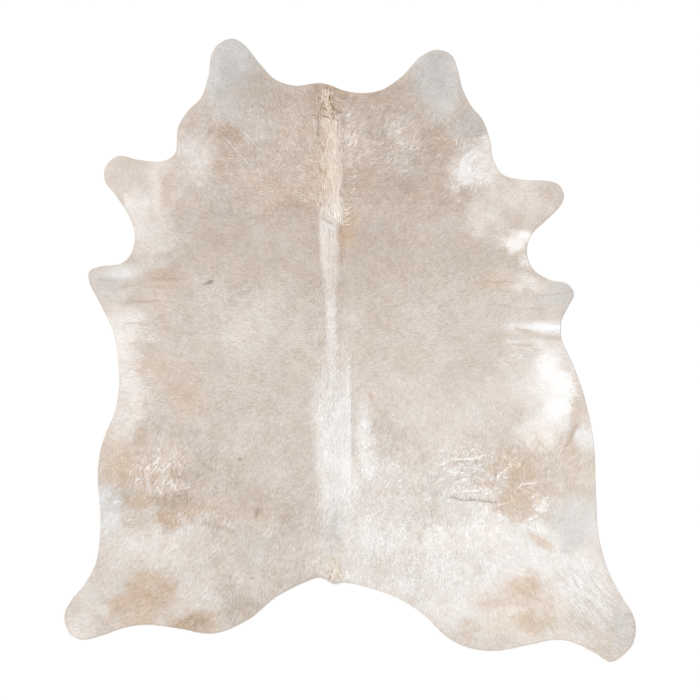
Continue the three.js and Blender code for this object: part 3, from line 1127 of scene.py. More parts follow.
class CoatPattern:
    """What tone the coat has at each place. Layers of noise are each a strength and a wave in metres."""

    feather = ((0.014, 0.16), (0.012, 0.05), (0.007, 0.018))
    mottle = ((0.005, 0.12), (0.005, 0.055), (0.005, 0.026))
    tan_mottle = ((0.02, 0.11), (0.02, 0.05))
    mottle_warmth = 3.0
    calm_at_spine = 0.25
    calm_reach = (0.03, 0.30)
    smooth_and_ragged = (6.0, 80.0)
    stripe_sway = 0.1

    def __init__(self) -> None:
        """Draws the noises that feather and mottle the patches, and lays out the stripe and the lines."""
        self.noises = [SoftNoise(seed) for seed in range(11, 22)]
        self.stripe = Stripe()
        self.lines = StreakField(SPINE_LINES + CREASE_SHADE_AND_LIGHT + FLANK_CREASE_SHADE_AND_MARK + CREVICE_BROWN_AND_SHADE)

    def _grained(self, start: Array | float, first: int, layers: tuple, x: Array, y: Array) -> Array:
        """Adds layers of noise, from this noise on, to a starting value."""
        pairs = zip(layers, self.noises[first:])
        return sum((strength * noise.at(x, y, wave) for (strength, wave), noise in pairs), start)

    def tone_at(self, x: Array, y: Array, stray: Array | float = 0.0) -> tuple[Array, Array]:
        """Mixes the patches, in their order, over the ground tone, and lays the stripe and the lines on them.

        Args:
            x: places across, in metres.
            y: places along, in metres.
            stray: how far a hair's tone comes from beside it, as two rows in metres. Soft patches stray most.

        Returns:
            How light and how tan each place is.
        """
        sway = self.calm_at_spine + (1 - self.calm_at_spine) * ease(*self.calm_reach, np.abs(x - SPINE_X))
        dx, dy = (sway * self._grained(0.0, first, self.feather, x, y) for first in (0, 3))
        light = np.full(x.shape, CoatTone.SAND.light)
        warmth = np.full(x.shape, CoatTone.SAND.warmth)
        stray_x, stray_y = np.broadcast_to(stray, (2, len(x)))
        for p in PATCHES:
            ragged = ease(*self.smooth_and_ragged, min(p.half_width, p.half_length))
            sx, sy = x + ragged * dx + p.blur * stray_x, y + ragged * dy + p.blur * stray_y
            share = p.share * p.inside_at(sx, sy)
            light += share * (p.tone.light - light)
            warmth += share * (p.tone.warmth - warmth)
        stripe_light, stripe_warmth, share = self.stripe.at(x + self.stripe_sway * dx, y)
        light += share * (stripe_light - light)
        warmth += share * (stripe_warmth - warmth)
        # The lines add painted shade in creases and crevices, and painted light beside some creases.
        more_light, more_warmth, _, _ = self.lines.at(x, y)
        mottle = self._grained(0.0, 6, self.mottle, x, y)
        light += more_light + mottle
        warmth += self._grained(more_warmth - self.mottle_warmth * mottle, 9, self.tan_mottle, x, y)
        return light, warmth


class HairFlow:
    """Which way the hair lies at each place. Each sway is a seed, a turn in degrees and a wave in metres."""

    near_and_far = (0.22, 0.85)
    parting_ends = (0.45, 0.55)
    parting_widths = (0.085, 0.060)
    parting_edge = (0.45, 1.0)
    sways = ((31, 9.0, 0.14), (32, 7.0, 0.045))

    def __init__(self) -> None:
        """Gathers the rows and draws the noises that sway the hair."""
        self.along = np.array([row.along for row in HAIR_ROWS])
        self.sides = np.array([(r.right_near, r.right_far, r.left_near, r.left_far) for r in HAIR_ROWS]).T
        self.noises = [(SoftNoise(seed), turn, wave) for seed, turn, wave in self.sways]

    def heading_at(self, x: Array, y: Array) -> Array:
        """Gives the hair's heading, from root to tip.

        Args:
            x: places across, in metres.
            y: places along, in metres.

        Returns:
            Headings in radians from +X.
        """
        far = ease(*self.near_and_far, np.abs(x - SPINE_X))
        right_near, right_far, left_near, left_far = (np.interp(y, self.along, side) for side in self.sides)
        right = right_near + far * (right_far - right_near)
        left = 180.0 - (left_near + far * (left_far - left_near))
        parting = np.interp(y, self.parting_ends, self.parting_widths)
        middle = ease(*self.parting_edge, np.abs(x - SPINE_X) / parting)
        right = -90.0 + middle * (right + 90.0)
        left = 270.0 + middle * (left - 270.0)
        heading = np.where(x > SPINE_X, right, left)
        heading += sum(turn * noise.at(x, y, wave) for noise, turn, wave in self.noises)
        return np.radians(heading)


class Relief:
    """How high the skin lies off the floor at each place."""

    skin = 2.3 * MM
    crest_height = 4.5 * MM
    crest_reach = 0.050
    crest_foot = (0.47, 0.56)
    crest_end = (1.12, 1.04)
    spine_height = 1.2 * MM
    spine_reach = 0.060
    spine_top = (0.62, 0.45)
    wave_height = 0.5 * MM
    wave_length = 0.17
    highest_wave = 2.2
    outer_part = (0.3, 0.9)
    fine_height = 0.25 * MM
    fine_length = 0.02

    def __init__(self) -> None:
        """Draws the noise of the skin's slight waves."""
        self.waves = [SoftNoise(41), SoftNoise(42)]

    def lift_at(self, x: Array, y: Array) -> Array:
        """Gives the height of the skin's underside.

        Args:
            x: places across, in metres.
            y: places along, in metres.

        Returns:
            Heights in metres, never below the floor.
        """
        high = np.zeros(x.shape)
        for f in FOLDS:
            u, v = turned(x, y, f.across, f.along, f.heading)
            u, v = u / (f.length * MM / 2), v / (f.width * MM)
            high += f.height * MM * np.exp(-(v * v)) * ease(1.15, 0.3, np.abs(u))
        wave = np.clip(self.waves[0].at(x, y, self.wave_length), 0, self.highest_wave) * self.wave_height
        return high + wave * ease(*self.outer_part, np.hypot(x, y * 0.9))

    def top_at(self, x: Array, y: Array) -> Array:
        """Gives the height of the skin's hair side.

        Args:
            x: places across, in metres.
            y: places along, in metres.

        Returns:
            Heights in metres.
        """
        beside = np.abs(x - SPINE_X)
        crest = self.crest_height * ease(self.crest_reach, 0.0, beside)
        crest = crest * ease(*self.crest_foot, y) * ease(*self.crest_end, y)
        spine = self.spine_height * ease(self.spine_reach, 0.0, beside) * ease(*self.spine_top, y)
        fine = self.fine_height * self.waves[1].at(x, y, self.fine_length)
        return self.lift_at(x, y) + self.skin + crest + spine + fine


class NodeBook:
    """A material's shader nodes, each made with its inputs linked or set."""

    def __init__(self, name: str) -> None:
        """Starts a material with one plain shader.

        Args:
            name: the material's name.
        """
        self.material = bpy.data.materials.new(name)
        self.material.use_nodes = True
        self.tree = self.material.node_tree
        self.tree.nodes.clear()
        self.shader = self.add("BsdfPrincipled", {})
        self.add("OutputMaterial", {"Surface": self.shader.outputs["BSDF"]})

    def add(self, kind: str, inputs: dict, **settings: object) -> bpy.types.Node:
        """Adds a node.

        Args:
            kind: the node's type.
            inputs: what each input takes, an output to link or a plain value.
            settings: properties to set on the node.

        Returns:
            The node.
        """
        node = self.tree.nodes.new("ShaderNode" + kind)
        for key, value in settings.items():
            setattr(node, key, value)
        self.feed(node, inputs)
        return node

    def feed(self, node: bpy.types.Node, inputs: dict) -> None:
        """Links or sets a node's inputs.

        Args:
            node: the node.
            inputs: what each input takes, an output to link or a plain value.
        """
        for key, value in inputs.items():
            if isinstance(value, bpy.types.NodeSocket):
                self.tree.links.new(value, node.inputs[key])
            else:
                node.inputs[key].default_value = value

    def scaled(self, source: bpy.types.NodeSocket, factor: float, shift: float) -> bpy.types.NodeSocket:
        """Multiplies an output by a factor and adds a shift.

        Args:
            source: the output.
            factor: what it is multiplied by.
            shift: what is added then.

        Returns:
            The result's output.
        """
        return self.add("Math", {0: source, 1: factor, 2: shift}, operation="MULTIPLY_ADD").outputs[0]

    def mix(self, share: bpy.types.NodeSocket, first: tuple, second: tuple) -> bpy.types.NodeSocket:
        """Mixes two colours.

        Args:
            share: the output that says how much of the second colour there is.
            first: the colour at 0.
            second: the colour at 1.

        Returns:
            The colour's output.
        """
        inputs = {"Factor": share, 6: (*first, 1.0), 7: (*second, 1.0)}
        return self.add("Mix", inputs, data_type="RGBA", clamp_factor=False).outputs[2]

    def noise(self, scale: float, detail: float) -> bpy.types.NodeSocket:
        """Adds noise on the piece's own coordinates.

        Args:
            scale: how fine it is, per metre.
            detail: how many finer layers it has.

        Returns:
            The noise's output.
        """
        places = self.add("TexCoord", {}).outputs["Object"]
        return self.add("TexNoise", {"Vector": places, "Scale": scale, "Detail": detail}).outputs["Fac"]

    def bump(self, height: bpy.types.NodeSocket, distance: float, strength: float) -> None:
        """Bumps the surface by a pattern.

        Args:
            height: the output that gives the height.
            distance: how deep the bumps are, in metres.
            strength: how much of them shows.
        """
        bump = self.add("Bump", {"Height": height, "Distance": distance, "Strength": strength})
        self.feed(self.shader, {"Normal": bump.outputs["Normal"]})


class ToneSource(Enum):
    """Where a piece keeps its tones."""

    HAIR_MAP = "map"
    SKIN_ATTRIBUTE = "attribute"


@dataclass(frozen=True)
class CoatFinish:
    """Hair: dull to silky, coloured by the tone of each strand."""

    name: str
    source: ToneSource = ToneSource.HAIR_MAP
    exposure: float = 1.05
    gamma: float = 2.2
    roughness: float = 0.55
    sheen: float = 0.12
    sheen_roughness: float = 0.4
    shine: float = 0.35
    grain: tuple = (420.0, 3.0)
    grain_roughness: float = 0.16
    bump_depth: float = 0.0008
    bump_share: float = 0.5
    grey: tuple = (1.0, 1.0, 1.0)
    tan: tuple = (1.0, 0.807, 0.652)

    def material(self) -> bpy.types.Material:
        """Builds the material.

        Returns:
            The material.
        """
        book = NodeBook(self.name)
        if self.source is ToneSource.HAIR_MAP:
            tones = book.add("UVMap", {}, uv_map=BAKE_MAP).outputs["UV"]
        else:
            tones = book.add("Attribute", {}, attribute_name=TONE_ATTRIBUTE).outputs["Vector"]
        split = book.add("SeparateXYZ", {"Vector": tones}).outputs
        light = book.scaled(split["X"], LIGHT_SPAN, LIGHT_LOW)
        linear = book.add("Math", {0: light, 1: self.gamma}, operation="POWER").outputs[0]
        exposed = book.scaled(linear, self.exposure, 0.0)
        hue = book.mix(book.scaled(split["Y"], WARMTH_SPAN, WARMTH_LOW), self.grey, self.tan)
        colour = book.add("VectorMath", {0: hue, "Scale": exposed}, operation="SCALE").outputs[0]
        grain = book.noise(*self.grain)
        smoothest = self.roughness - self.grain_roughness / 2
        book.feed(book.shader, {
            "Base Color": colour,
            "Roughness": book.scaled(grain, self.grain_roughness, smoothest),
            "Sheen Weight": self.sheen,
            "Sheen Roughness": self.sheen_roughness,
            "Specular IOR Level": self.shine,
        })
        if self.source is ToneSource.SKIN_ATTRIBUTE:
            book.bump(grain, self.bump_depth, self.bump_share)
        return book.material


@dataclass(frozen=True)
class SuedeFinish:
    """The flesh side and the cut edge: pale brushed suede."""

    pale: tuple = (0.66, 0.55, 0.43)
    deep: tuple = (0.52, 0.41, 0.30)
    blotches: tuple = (9.0, 5.0)
    nap: tuple = (900.0, 4.0)
    roughness: float = 0.82
    nap_roughness: float = 0.15
    sheen: float = 0.3
    bump_depth: float = 0.0006
    bump_share: float = 0.6

    def material(self) -> bpy.types.Material:
        """Builds the material.

        Returns:
            The material.
        """
        book = NodeBook("suede")
        nap = book.noise(*self.nap)
        book.feed(book.shader, {
            "Base Color": book.mix(book.noise(*self.blotches), self.deep, self.pale),
            "Roughness": book.scaled(nap, self.nap_roughness, self.roughness),
            "Sheen Weight": self.sheen,
        })
        book.bump(nap, self.bump_depth, self.bump_share)
        return book.material


@dataclass(frozen=True)
class FloorFinish:
    """A plain pale studio floor."""

    colour: tuple = (0.93, 0.93, 0.93)
    roughness: float = 0.9
    shine: float = 0.1

    def material(self) -> bpy.types.Material:
        """Builds the material.

        Returns:
            The material.
        """
        book = NodeBook("studio_floor")
        looks = {"Base Color": (*self.colour, 1.0), "Roughness": self.roughness}
        book.feed(book.shader, {**looks, "Specular IOR Level": self.shine})
        return book.material


def mesh_object(name: str, vertices: Array, triangles: Array, places: Array) -> Piece:
    """Makes a mesh object of triangles, with its map, at the origin.

    Args:
        name: the piece's name.
        vertices: the corners' places.
        triangles: three corner numbers for each triangle, counter-clockwise seen from outside.
        places: the map's two numbers for each triangle's corner in turn.

    Returns:
        The object, linked to the scene.
    """
    mesh = bpy.data.meshes.new(name)
    mesh.vertices.add(len(vertices))
    mesh.vertices.foreach_set("co", vertices.astype(np.float32).ravel())
    mesh.loops.add(3 * len(triangles))
    mesh.loops.foreach_set("vertex_index", triangles.astype(np.int32).ravel())
    mesh.polygons.add(len(triangles))
    mesh.polygons.foreach_set("loop_start", np.arange(len(triangles), dtype=np.int32) * 3)
    mesh.update(calc_edges=True)
    mesh.shade_flat()
    layer = mesh.uv_layers.new(name=BAKE_MAP, do_init=False)
    layer.uv.foreach_set("vector", places.astype(np.float32).ravel())
    piece = bpy.data.objects.new(name, mesh)
    bpy.context.scene.collection.objects.link(piece)
    return piece


def tone_map(light: Array, warmth: Array) -> Array:
    """Turns tones into places on the hair's map.

    Args:
        light: how light each corner is.
        warmth: how tan each corner is.

    Returns:
        Two numbers from 0 to 1 for each corner.
    """
    u = (light - LIGHT_LOW) / LIGHT_SPAN
    v = (warmth - WARMTH_LOW) / WARMTH_SPAN
    return np.clip(np.stack([u, v], -1), 0.004, 0.996)


@dataclass
class Hide:
    """The skin: one closed thin sheet, cut to the outline, with its hair side and its suede side."""

    outline: Outline
    relief: Relief
    pattern: CoatPattern
    grid: float = 0.0115
    under_grid: float = 0.024
    ring_depths: tuple = (0.0025, 0.0065, 0.0125)
    under_depths: tuple = (0.008,)
    wall_bulge: float = 0.0005
    rounding: float = 0.0005
    rounding_reach: float = 0.006
    floor_gap: float = 0.00005
    under_shade: float = 0.035
    under_tan: float = 0.06
    top_map: tuple = (0.74, 0.25)
    under_map: tuple = (0.24, 0.0)

    def build(self) -> Piece:
        """Makes the sheet.

        Returns:
            The sheet.
        """
        top, top_faces = self._layer(self.grid, self.ring_depths)
        under, under_faces = self._layer(self.under_grid, self.under_depths)
        edge = len(self.outline.ring)
        near_edge = ease(self.rounding_reach, 0.0, self.outline.inside_by(*top.T))
        high = self.relief.top_at(*top.T) - self.rounding * near_edge
        low = self.relief.lift_at(*under.T) + self.floor_gap
        waist = (high[:edge] + low[:edge]) / 2
        layers = ((top, high), (under, low), (self.outline.inset(-self.wall_bulge), waist))
        vertices = np.concatenate([np.column_stack(layer) for layer in layers])
        under_start, wall_start = len(top), len(top) + len(under)
        here = np.arange(edge)
        after = (here + 1) % edge
        upper = self._band(wall_start + here, wall_start + after, here, after)
        lower = self._band(under_start + here, under_start + after, wall_start + here, wall_start + after)
        faces = np.concatenate([top_faces, under_faces[:, ::-1] + under_start, upper, lower])
        flat = (vertices[:, :2] - vertices[:, :2].min(0)) / np.ptp(vertices[:, :2], axis=0).max()
        halves = ((faces[: len(top_faces)], self.top_map), (faces[len(top_faces) :], self.under_map))
        places = np.concatenate([flat[half.ravel()] * size + shift for half, (size, shift) in halves])
        piece = mesh_object("hide_skin", vertices, faces, places)
        self._dress(piece.data, vertices, len(top_faces))
        return piece

    def _layer(self, grid: float, depths: tuple) -> tuple[Array, Array]:
        """Triangulates one side of the sheet.

        Args:
            grid: the distance between the inner points.
            depths: how far the rings beside the edge lie inside it.

        Returns:
            The points, the edge's first, and the triangles, counter-clockwise from above.
        """
        ring = self.outline.ring
        edge = len(ring)
        rows = [ring] + [self.outline.inset(depth) for depth in depths]
        low, high = ring.min(0), ring.max(0)
        y, x = np.mgrid[low[1] : high[1] : grid * 0.866, low[0] : high[0] : grid]
        x[1::2] += grid / 2
        inner = np.column_stack([x.ravel(), y.ravel()])
        deep = self.outline.inside_by(*inner.T) > depths[-1] + grid * 0.6
        points = np.concatenate(rows + [inner[deep]])
        kept = np.ones(len(points), bool)
        for number, depth in enumerate(depths, 1):
            part = slice(number * edge, (number + 1) * edge)
            kept[part] = self.outline.inside_by(*points[part].T) > depth * 0.7
        points = points[kept]
        borders = [(i, (i + 1) % edge) for i in range(edge)]
        found = delaunay_2d_cdt([Vector(p) for p in points], borders, [], 1, 1e-7)
        faces = np.array([f[:] for f in found[2]])
        order = np.array([origin[0] if len(origin) else -1 for origin in found[3]])
        faces = order[faces]
        a, b, c = (points[faces[:, k]] for k in range(3))
        area = (b[:, 0] - a[:, 0]) * (c[:, 1] - a[:, 1]) - (b[:, 1] - a[:, 1]) * (c[:, 0] - a[:, 0])
        faces[area < 0] = faces[area < 0][:, ::-1]
        return points, faces

    @staticmethod
    def _band(a: Array, b: Array, c: Array, d: Array) -> Array:
        """Joins two rings by triangles that face away from the hide.

        Args:
            a: the lower ring.
            b: the lower ring, one point on.
            c: the upper ring.
            d: the upper ring, one point on.

        Returns:
            The triangles.
        """
        return np.concatenate([np.column_stack([a, b, d]), np.column_stack([a, d, c])])

    def _dress(self, mesh: bpy.types.Mesh, vertices: Array, top_faces: int) -> None:
        """Gives the sheet its tones and its two finishes.

        Args:
            mesh: the sheet's mesh.
            vertices: its corners' places.
            top_faces: how many faces its hair side has.
        """
        light, warmth = self.pattern.tone_at(vertices[:, 0], vertices[:, 1])
        tones = np.zeros(vertices.shape, np.float32)
        tones[:, :2] = tone_map(light - self.under_shade, warmth + self.under_tan)
        attribute = mesh.attributes.new(TONE_ATTRIBUTE, "FLOAT_VECTOR", "POINT")
        attribute.data.foreach_set("vector", tones.ravel())
        mesh.materials.append(CoatFinish("under_hair", ToneSource.SKIN_ATTRIBUTE).material())
        mesh.materials.append(SuedeFinish().material())
        slots = np.ones(len(mesh.polygons), np.int32)
        slots[:top_faces] = 0
        mesh.polygons.foreach_set("material_index", slots)
        mesh.polygons.foreach_set("use_smooth", np.ones(len(mesh.polygons), bool))


class Region(Enum):
    """The pieces that the short hair is divided into."""

    NECK = "hair_neck"
    LEFT_SIDE = "hair_left_side"
    RIGHT_SIDE = "hair_right_side"
    LEFT_HIND = "hair_left_hind"
    RIGHT_HIND = "hair_right_hind"

    @property
    def tan(self) -> tuple:
        """The colour that its warmest hair tends to: a little pinker at the neck, yellower behind."""
        green = {Region.NECK: 0.797, Region.LEFT_HIND: 0.813, Region.RIGHT_HIND: 0.818}.get(self, 0.807)
        return (1.0, green, 0.652)

    @staticmethod
    def of(x: Array, y: Array) -> Array:
        """Says which region each place is in, as its number in this list."""
        side = (x > SPINE_X).astype(int)
        return np.where(y > NECK_FROM, 0, np.where(y > HIND_BELOW, 1 + side, 3 + side))


@dataclass
class HairCoat:
    """The short hair: slivers that lie along the flow, gathered into small locks. Turns are in degrees."""

    outline: Outline
    relief: Relief
    pattern: CoatPattern
    ridges: StreakField
    flow: HairFlow
    spacing: float = 4.75 * MM
    edge_gap: float = 1.2 * MM
    overhang: float = 0.8 * MM
    feather: float = 0.75
    lock: float = 15.0 * MM
    gather: float = 0.45
    half_width: float = 1.55 * MM
    ridge: float = 0.35 * MM
    plain_cut: tuple = (26.0, 1.5, 0.9)
    led_from: float = 0.3
    led_stray: float = 0.25
    led_length: float = 0.6
    led_gather: float = 0.2
    lock_turn: float = 7.0
    own_turn: float = 9.0
    gathered_length: float = 1.15
    root_depth: float = 0.25 * MM
    tip_gap: float = 0.3 * MM
    ridge_rise: float = 1.6 * MM
    tone_point: float = 0.4
    own_light: float = 0.011
    lock_light: float = 0.007
    own_tan: float = 0.03
    lock_tan: float = 0.02
    end_light: float = 0.014
    roll: float = 7.0
    shortening: float = 0.62
    belly_at: float = 0.42
    seed: int = 5

    def build(self) -> list[Piece]:
        """Makes every region's hair.

        Returns:
            The pieces.
        """
        roots = self._roots()
        count = len(roots)
        x, y = roots.T
        rng = np.random.default_rng(self.seed)
        length, lift, mix = self._cut_at(x, y)
        heading = self.flow.heading_at(x, y)
        ridge_light, ridge_warmth, near, ridge_heading = self.ridges.at(x, y)
        _, _, on_line, line_heading = self.pattern.lines.at(x, y)
        led = np.maximum(near, on_line) > self.led_from
        line_heading = np.where(near > on_line, ridge_heading, line_heading)
        heading = np.where(led, line_heading + rng.normal(0, self.led_stray, count), heading)
        centre, lock = self._locks(roots)
        shared = np.random.default_rng(self.seed + 1).standard_normal((4, lock.max() + 1))[:, lock]
        loose = np.clip(0.35 + 0.65 * mix, 0.0, 1.3)
        turn = self.lock_turn * shared[0] + rng.normal(0, self.own_turn, count)
        heading = heading + np.radians(loose * turn)
        length = length * MM * np.clip(1 + 0.22 * rng.standard_normal(count), 0.5, 1.6)
        length *= np.where(led, self.led_length, 1.0)
        along = np.stack([np.cos(heading), np.sin(heading)], 1)
        tips = roots + along * length[:, None]
        drawn = centre + along * (length * self.gathered_length)[:, None]
        tips += self.gather * (drawn - tips) * np.where(led, self.led_gather, 1.0)[:, None]
        tips = self._kept_inside(roots, tips)
        raised = lift * MM * np.clip(0.75 + 0.30 * rng.standard_normal(count) + 0.25 * shared[1], 0.1, 1.8)
        rise = self.ridge_rise * near * (ridge_light > 0)
        start = np.column_stack([roots, self.relief.top_at(x, y) - self.root_depth])
        end = np.column_stack([tips, self.relief.top_at(*tips.T) + self.tip_gap + raised + rise])
        stray = (along * (length * self.feather * rng.standard_normal(count))[:, None]).T
        middle = (1 - self.tone_point) * roots + self.tone_point * tips
        light, warmth = self.pattern.tone_at(*middle.T, stray)
        sharp = ease(0.3, 0.85, near)
        own, common = mix * self.own_light * rng.standard_normal(count), mix * self.lock_light * shared[2]
        chance = mix * (self.own_tan * rng.standard_normal(count) + self.lock_tan * shared[3])
        # The ridges' gains are partly painted: highlight on raised hair, and shade in the furrows among the
        # curls.
        light += sharp * ridge_light + own + common
        warmth += sharp * ridge_warmth - 2.2 * own - 3.8 * common + chance
        tones = np.column_stack([light, warmth, self.end_light * mix])
        width = self.half_width * np.clip(1 + 0.2 * rng.standard_normal(count), 0.5, 1.6)
        roll = np.radians(rng.normal(0, self.roll, count))
        region = Region.of(x, y)
        pieces = []
        for number, name in enumerate(Region):
            picked = (part[region == number] for part in (start, end, width, roll, tones))
            piece = self._slivers(name.value, *picked)
            piece.data.materials.append(CoatFinish(name.value, tan=name.tan).material())
            pieces.append(piece)
        return pieces

    def _roots(self) -> Array:
        """Scatters the roots evenly over the hide.

        Returns:
            The roots' places.
        """
        rng = np.random.default_rng(self.seed + 2)
        low, high = self.outline.ring.min(0), self.outline.ring.max(0)
        y, x = np.mgrid[low[1] : high[1] : self.spacing, low[0] : high[0] : self.spacing]
        places = np.column_stack([x.ravel(), y.ravel()])
        places += rng.uniform(-0.5, 0.5, places.shape) * self.spacing
        return places[self.outline.inside_by(*places.T) > self.edge_gap]

    def _cut_at(self, x: Array, y: Array) -> tuple[Array, Array, Array]:
        """Gives the hair's length, lift and mix at each place.

        Args:
            x: places across, in metres.
            y: places along, in metres.

        Returns:
            Lengths and lifts in millimetres, and how mixed the tones are.
        """
        length, lift, mix = (np.full(x.shape, plain) for plain in self.plain_cut)
        for cut in COAT_CUTS:
            share = cut.inside_at(x, y)
            length += share * (cut.length - length)
            lift += share * (cut.lift - lift)
            mix += share * (cut.mix - mix)
        return length, lift, mix

    def _locks(self, roots: Array) -> tuple[Array, Array]:
        """Sorts the roots into small locks, round points strewn one to a cell.

        Args:
            roots: the roots' places.

        Returns:
            The middle of each root's lock, and the lock's number.
        """
        cell = np.floor((roots + 10.0) / self.lock).astype(int)
        cell -= cell.min(0)
        columns = cell[:, 1].max() + 3
        rng = np.random.default_rng(self.seed + 3)
        shift = rng.uniform(-0.5, 0.5, ((cell[:, 0].max() + 3) * columns, 2))
        base = np.floor((roots.min(0) + 10.0) / self.lock) * self.lock - 10.0
        best = np.full(len(roots), np.inf)
        number = np.zeros(len(roots), int)
        middle = np.zeros(roots.shape)
        for step in np.ndindex(3, 3):
            at = cell + step
            index = at[:, 0] * columns + at[:, 1]
            place = base + (at - 0.5 + shift[index]) * self.lock
            far = np.sum((place - roots) ** 2, 1)
            nearer = far < best
            best[nearer], number[nearer], middle[nearer] = far[nearer], index[nearer], place[nearer]
        return middle, number

    def _kept_inside(self, roots: Array, tips: Array) -> Array:
        """Shortens the hair that would pass the trimmed edge.

        Args:
            roots: the roots' places.
            tips: the tips' places.

        Returns:
            The tips' new places.
        """
        for _ in range(4):
            over = self.outline.inside_by(*tips.T) < -self.overhang
            tips[over] = roots[over] + self.shortening * (tips[over] - roots[over])
        return tips

    def _slivers(self, name: str, start: Array, end: Array, width: Array, roll: Array, tones: Array) -> Piece:
        """Makes one closed sliver for each hair, with a ridge along its back.

        Args:
            name: the piece's name.
            start: the roots.
            end: the tips.
            width: the half widths.
            roll: how far each is rolled to a side, in radians.
            tones: how light and how tan each is, and how much its two ends differ.

        Returns:
            The piece.
        """
        run = end - start
        flat = run[:, :2] / np.maximum(np.linalg.norm(run[:, :2], axis=1, keepdims=True), 1e-9)
        aside = np.column_stack([-flat[:, 1] * np.cos(roll), flat[:, 0] * np.cos(roll), np.sin(roll)])
        aside *= width[:, None]
        belly = start + self.belly_at * run - np.array([0.0, 0.0, self.ridge])
        vertices = np.stack([start, end, belly + aside, belly - aside], 1).reshape(-1, 3)
        first = 4 * np.arange(len(start))[:, None]
        faces = np.concatenate([first + [0, 1, 2], first + [0, 3, 1], first + [0, 2, 3], first + [1, 3, 2]])
        # Each sliver's root is darker and its tip lighter. This is painted shade at the root, where other
        # hair lies over it.
        light = tones[:, :1] + tones[:, 2:] * np.array([-1.0, 0.8, 0.0, 0.0])
        warmth = tones[:, 1:2] + np.array([0.0, 0.0, 0.01, -0.01])
        return mesh_object(name, vertices, faces, tone_map(light, warmth).reshape(-1, 2)[faces])


@dataclass
class LongLocks:
    """Longer wavy hair that stands on the short coat: the neck's crest, the tail's tuft or a leg's lines."""

    name: str
    groups: tuple[LockGroup, ...]
    relief: Relief
    outline: Outline
    tan: tuple = (1.0, 0.797, 0.610)
    root_shade: float = 0.05
    root_depth: float = 0.6 * MM
    ragged: float = 3.0 * MM
    edge_gap: float = 0.5 * MM
    crevice_from: float = 0.6
    foot_light: float = 0.030
    foot_grey: float = 0.22
    rings: int = 6
    seed: int = 91

    def build(self) -> Piece:
        """Makes every group's locks as one piece.

        Returns:
            The piece.
        """
        rng = np.random.default_rng(self.seed)
        made = [self._group(group, rng) for group in self.groups]
        piece = strand_piece(self.name, *(np.concatenate(part) for part in zip(*made)), self.root_shade)
        piece.data.materials.append(CoatFinish(self.name + "_hair", tan=self.tan).material())
        return piece

    def _group(self, g: LockGroup, rng: np.random.Generator) -> tuple[Array, ...]:
        """Lays out one group.

        Args:
            g: the group.
            rng: the source of its random numbers.

        Returns:
            The centre lines, the half widths, and how light and how tan each lock is.
        """
        side = np.clip(rng.normal(0, 0.56, g.count), -1.35, 1.35)
        y = rng.uniform(g.foot, g.top, g.count) * MM
        x = (g.across + side * g.half_width) * MM
        length = g.length * MM * rng.uniform(0.6, 1.4, g.count)
        share = np.linspace(0, 1, self.rings)[None, :]
        curl = np.radians(rng.normal(0, g.bend, g.count))[:, None]
        foot_heading = np.radians(g.heading + g.fan * side + rng.normal(0, g.stray, g.count))
        heading = foot_heading[:, None] + curl * share
        run = (length / (self.rings - 1))[:, None] * (np.arange(self.rings) > 0)
        wave = g.wave * MM * rng.uniform(0.5, 1.5, (g.count, 1))
        turns = rng.uniform(1.2, 2.3, (g.count, 1))
        phase = rng.uniform(0, 2 * math.pi, (g.count, 1))
        swing = wave * np.sin(2 * math.pi * turns * share + phase) * np.minimum(share * 3, 1)
        px = x[:, None] + np.cumsum(run * np.cos(heading), 1) - swing * np.sin(heading)
        py = y[:, None] + np.cumsum(run * np.sin(heading), 1) + swing * np.cos(heading)
        ragged = g.rest * MM + self.ragged * rng.standard_normal(g.count)
        ragged = ragged + g.slope * (px[:, -1] - g.across * MM)
        fall = np.maximum(py[:, 0] - py[:, -1], 1e-4)
        kept = np.clip((py[:, 0] - ragged) / fall, 0.15, 1.0)[:, None]
        px, py = px[:, :1] + kept * (px - px[:, :1]), py[:, :1] + kept * (py - py[:, :1])
        arch = g.height * MM * rng.uniform(0.25, 1.0, (g.count, 1)) * np.sin(math.pi * (share * 0.85 + 0.1))
        pz = self.relief.top_at(px, py) - self.root_depth * (1 - share) + arch
        own = g.contrast * rng.standard_normal(g.count)
        foot = ease(0.69, 0.55, y) * (y > 0.5) * (g.fan < 5)
        light = g.tone.light + own + self.foot_light * foot
        warmth = g.tone.warmth - 3.0 * own + 1.5 * g.contrast * rng.standard_normal(g.count)
        warmth = warmth - self.foot_grey * foot
        width = g.width * MM * rng.uniform(0.7, 1.3, g.count)
        _, _, crossed, _ = StreakField(CREVICE_BROWN_AND_SHADE).at(px.ravel(), py.ravel())
        clear = crossed.reshape(px.shape).max(1) < self.crevice_from
        clear &= self.outline.inside_by(px, py).min(1) > self.edge_gap
        return np.stack([px, py, pz], -1)[clear], width[clear], light[clear], warmth[clear]


